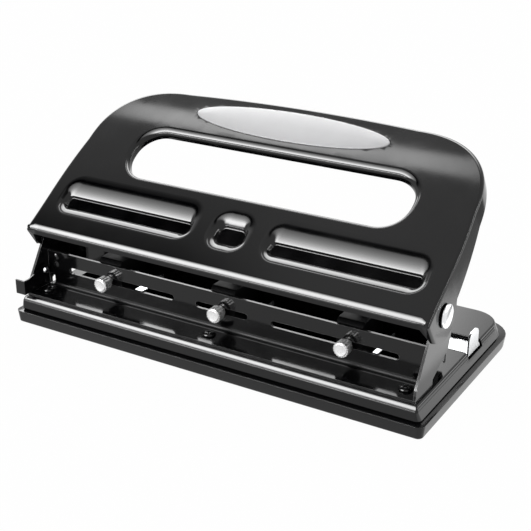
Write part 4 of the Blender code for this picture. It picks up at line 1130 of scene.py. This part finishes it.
knurl, knurl_middle = knurl_tree(), 0.0043
profile = [(0.0, 0.00035), (0.0036, 0.00030), (0.0041, 0.0), (0.0046, 0.0), (0.0050, 0.0003),
           (0.0051, 0.0006), (0.0051, 0.0080), (0.0049, 0.0084), (0.0044, 0.0086), (0.0042, 0.0088),
           (0.0042, 0.0113), (0.0020, 0.0116), (0.0020, 0.0189), (0.0016, 0.0192), (0.0, 0.0192)]
for side in sides:
    (x, _, z), (_, front, _) = middle_of("thumbscrew_" + side)
    body = turned("body", [(radius, front + along) for radius, along in profile], (x, 0.0, z), "y", 48)
    values = {"Place": (x, front + knurl_middle, z), "Finish": satin}
    work = bmesh.new()
    work.from_mesh(edged(body, softened, 1, 40.0))
    work.from_mesh(grown("ridges", knurl, values, [(x, front, z)]))
    screw = bpy.data.meshes.new("knurled_screw_" + side)
    work.to_mesh(screw)
    work.free()
    for face in screw.polygons:
        face.material_index = 0
    placed("knurled_screw_" + side, screw, satin, "screw_" + side, "chrome", "thumbscrew_" + side)
    print("thumbscrew", side, "has", len(screw.polygons), "faces")

# %% [markdown]
# ## Foot screws
# Three dark pan-head screws hold the frame to the base. They are alike but never turned
# alike, so one head is made, and a second tree sets it on three points with a random
# turn from a fixed seed.

# %% Foot screws
def screw_tree():
    """One screw on every point, each with its own turn about the vertical."""
    tree, given, made = empty_tree("screws in a row", [
        ("Screw", "NodeSocketObject", None), ("Most turn", "NodeSocketFloat", 3.14159),
        ("Seed", "NodeSocketInt", 4), ("Finish", "NodeSocketMaterial", None),
    ])
    chosen = added(tree, "GeometryNodeObjectInfo", {"Object": given.outputs["Screw"]})
    inputs = {3: given.outputs["Most turn"], "Seed": given.outputs["Seed"]}
    chance = added(tree, "FunctionNodeRandomValue", inputs, data_type="FLOAT")
    about = added(tree, "ShaderNodeCombineXYZ", {"Z": chance.outputs[1]})
    copies = added(tree, "GeometryNodeInstanceOnPoints", {
        "Points": given.outputs["Geometry"], "Instance": chosen.outputs["Geometry"],
        "Rotation": about.outputs[0],
    })
    return painted(tree, given, made, copies.outputs["Instances"])


low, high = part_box("foot_screw_middle")
top = high[2] - low[2]
head_high, cross_deep, cross_over, cross_long, cross_half = 0.0022, 0.0011, 0.001, 0.0028, 0.0005
profile = [(0.0, 0.0), (0.0017, 0.0), (0.0019, 0.0003), (0.0019, top - head_high), (0.0050, top - head_high),
           (0.0052, top - 0.0018), (0.0051, top - 0.0013), (0.0045, top - 0.0006), (0.0032, top - 0.0001),
           (0.0016, top), (0.0, top)]
shape = turned("pan_head", profile, (0.0, 0.0, 0.0), "z", 40)
arms = [block("arm_%d" % i, rounded_plan(-a, a, -b, b, 0.0001, 0.0001, 1), top - cross_deep, top + cross_over)
        for i, (a, b) in enumerate(((cross_long, cross_half), (cross_half, cross_long)))]
head = linked("pan_head", edged(shape, softened, 1, 40.0, arms))
points = []
for side in sides:
    (x, y, _), (_, _, foot) = middle_of("foot_screw_" + side)
    points.append((x, y, foot))
screws = grown("foot_screws", screw_tree(), {"Screw": head, "Finish": black_enamel}, points)
bpy.data.objects.remove(head)
placed("foot_screws", screws, black_enamel, "base", "black_steel", *("foot_screw_" + side for side in sides))
print("foot screws have", len(screws.polygons), "faces")

# %% [markdown]
# ## Springs
# A spring maker winds steel wire round a rod. Here the wire is a round tube along a
# helix. The pin springs have a closed turn at each end, to stand level, and each is
# attached to its punch head. The lever springs have two legs: one reaches up towards
# the lever, the other down towards the base.

# %% Wound wire
def wound(name, points, wire):
    """Round wire along points, closed at both ends."""
    curve = bpy.data.curves.new(name, "CURVE")
    curve.dimensions = "3D"
    curve.bevel_depth = wire
    curve.bevel_resolution = 3
    curve.use_fill_caps = True
    spline = curve.splines.new("POLY")
    spline.points.add(len(points) - 1)
    for target, point in zip(spline.points, points):
        target.co = (*point, 1.0)
    work = bmesh.new()
    work.from_mesh(applied(linked("holder", curve)))
    bmesh.ops.remove_doubles(work, verts=work.verts, dist=1e-6)
    return closed_from(name, work)


def helix(radius, heights, steps=24):
    """Points round an axis. Each turn climbs from one of the heights to the next."""
    points = []
    for first, last in zip(heights, heights[1:]):
        for i in range(steps):
            a = 2 * math.pi * i / steps
            points.append((radius * math.cos(a), radius * math.sin(a), first + (last - first) * i / steps))
    return points + [(radius, 0.0, heights[-1])]

# %% Pin springs
wire, coil_radius, pin_y, pin_limit = 0.00045, 0.0049, -0.0330, 0.0085
foot, cap, closed_turn = 0.05896, 0.07165, 0.00100
open_part = cap - foot - 2 * closed_turn
heights = [0.0] + [closed_turn + open_part * i / 4 for i in range(5)] + [cap - foot]
for side in sides:
    (x, _, _), _ = middle_of("punch_pin_" + side)
    route = [(x + px, pin_y + py, foot + pz) for px, py, pz in helix(coil_radius, heights)]
    name = "pin_coil_" + side
    coil = placed(name, wound(name, route, wire), spring_steel, "head_" + side,
                  "spring_steel", "pin_spring_" + side)
    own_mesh(coil)
print("pin spring has", len(coil.data.polygons), "faces")

# %% Lever springs
wire, coil_radius, coil_length = 0.0006, 0.0053, 0.0060
outer_end, leg_top, leg_foot = 0.1701, 0.0990, 0.0670
for side, way in ways:
    turns = helix(coil_radius, [coil_length * i / 3 for i in range(4)])
    route = [(way * (outer_end - pz), pivot_y + px, pivot_z - py) for px, py, pz in turns]
    route = [(route[0][0], route[0][1], leg_top)] + route + [(route[-1][0], route[-1][1], leg_foot)]
    name = "lever_coil_" + side
    coil = placed(name, wound(name, route, wire), spring_steel, None,
                  "spring_steel", "lever_spring_" + side)
    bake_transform(coil)
print("lever spring has", len(coil.data.polygons), "faces")

# %% [markdown]
# The rivets and the punch pins keep their measured form and only get a finish.

# %% Finishes of the nodes that stay
for name, node in nodes.items():
    if not node.hide_render:
        for material_slot in node.material_slots:
            material_slot.material = black_enamel if name == "plate_rivet" else chrome
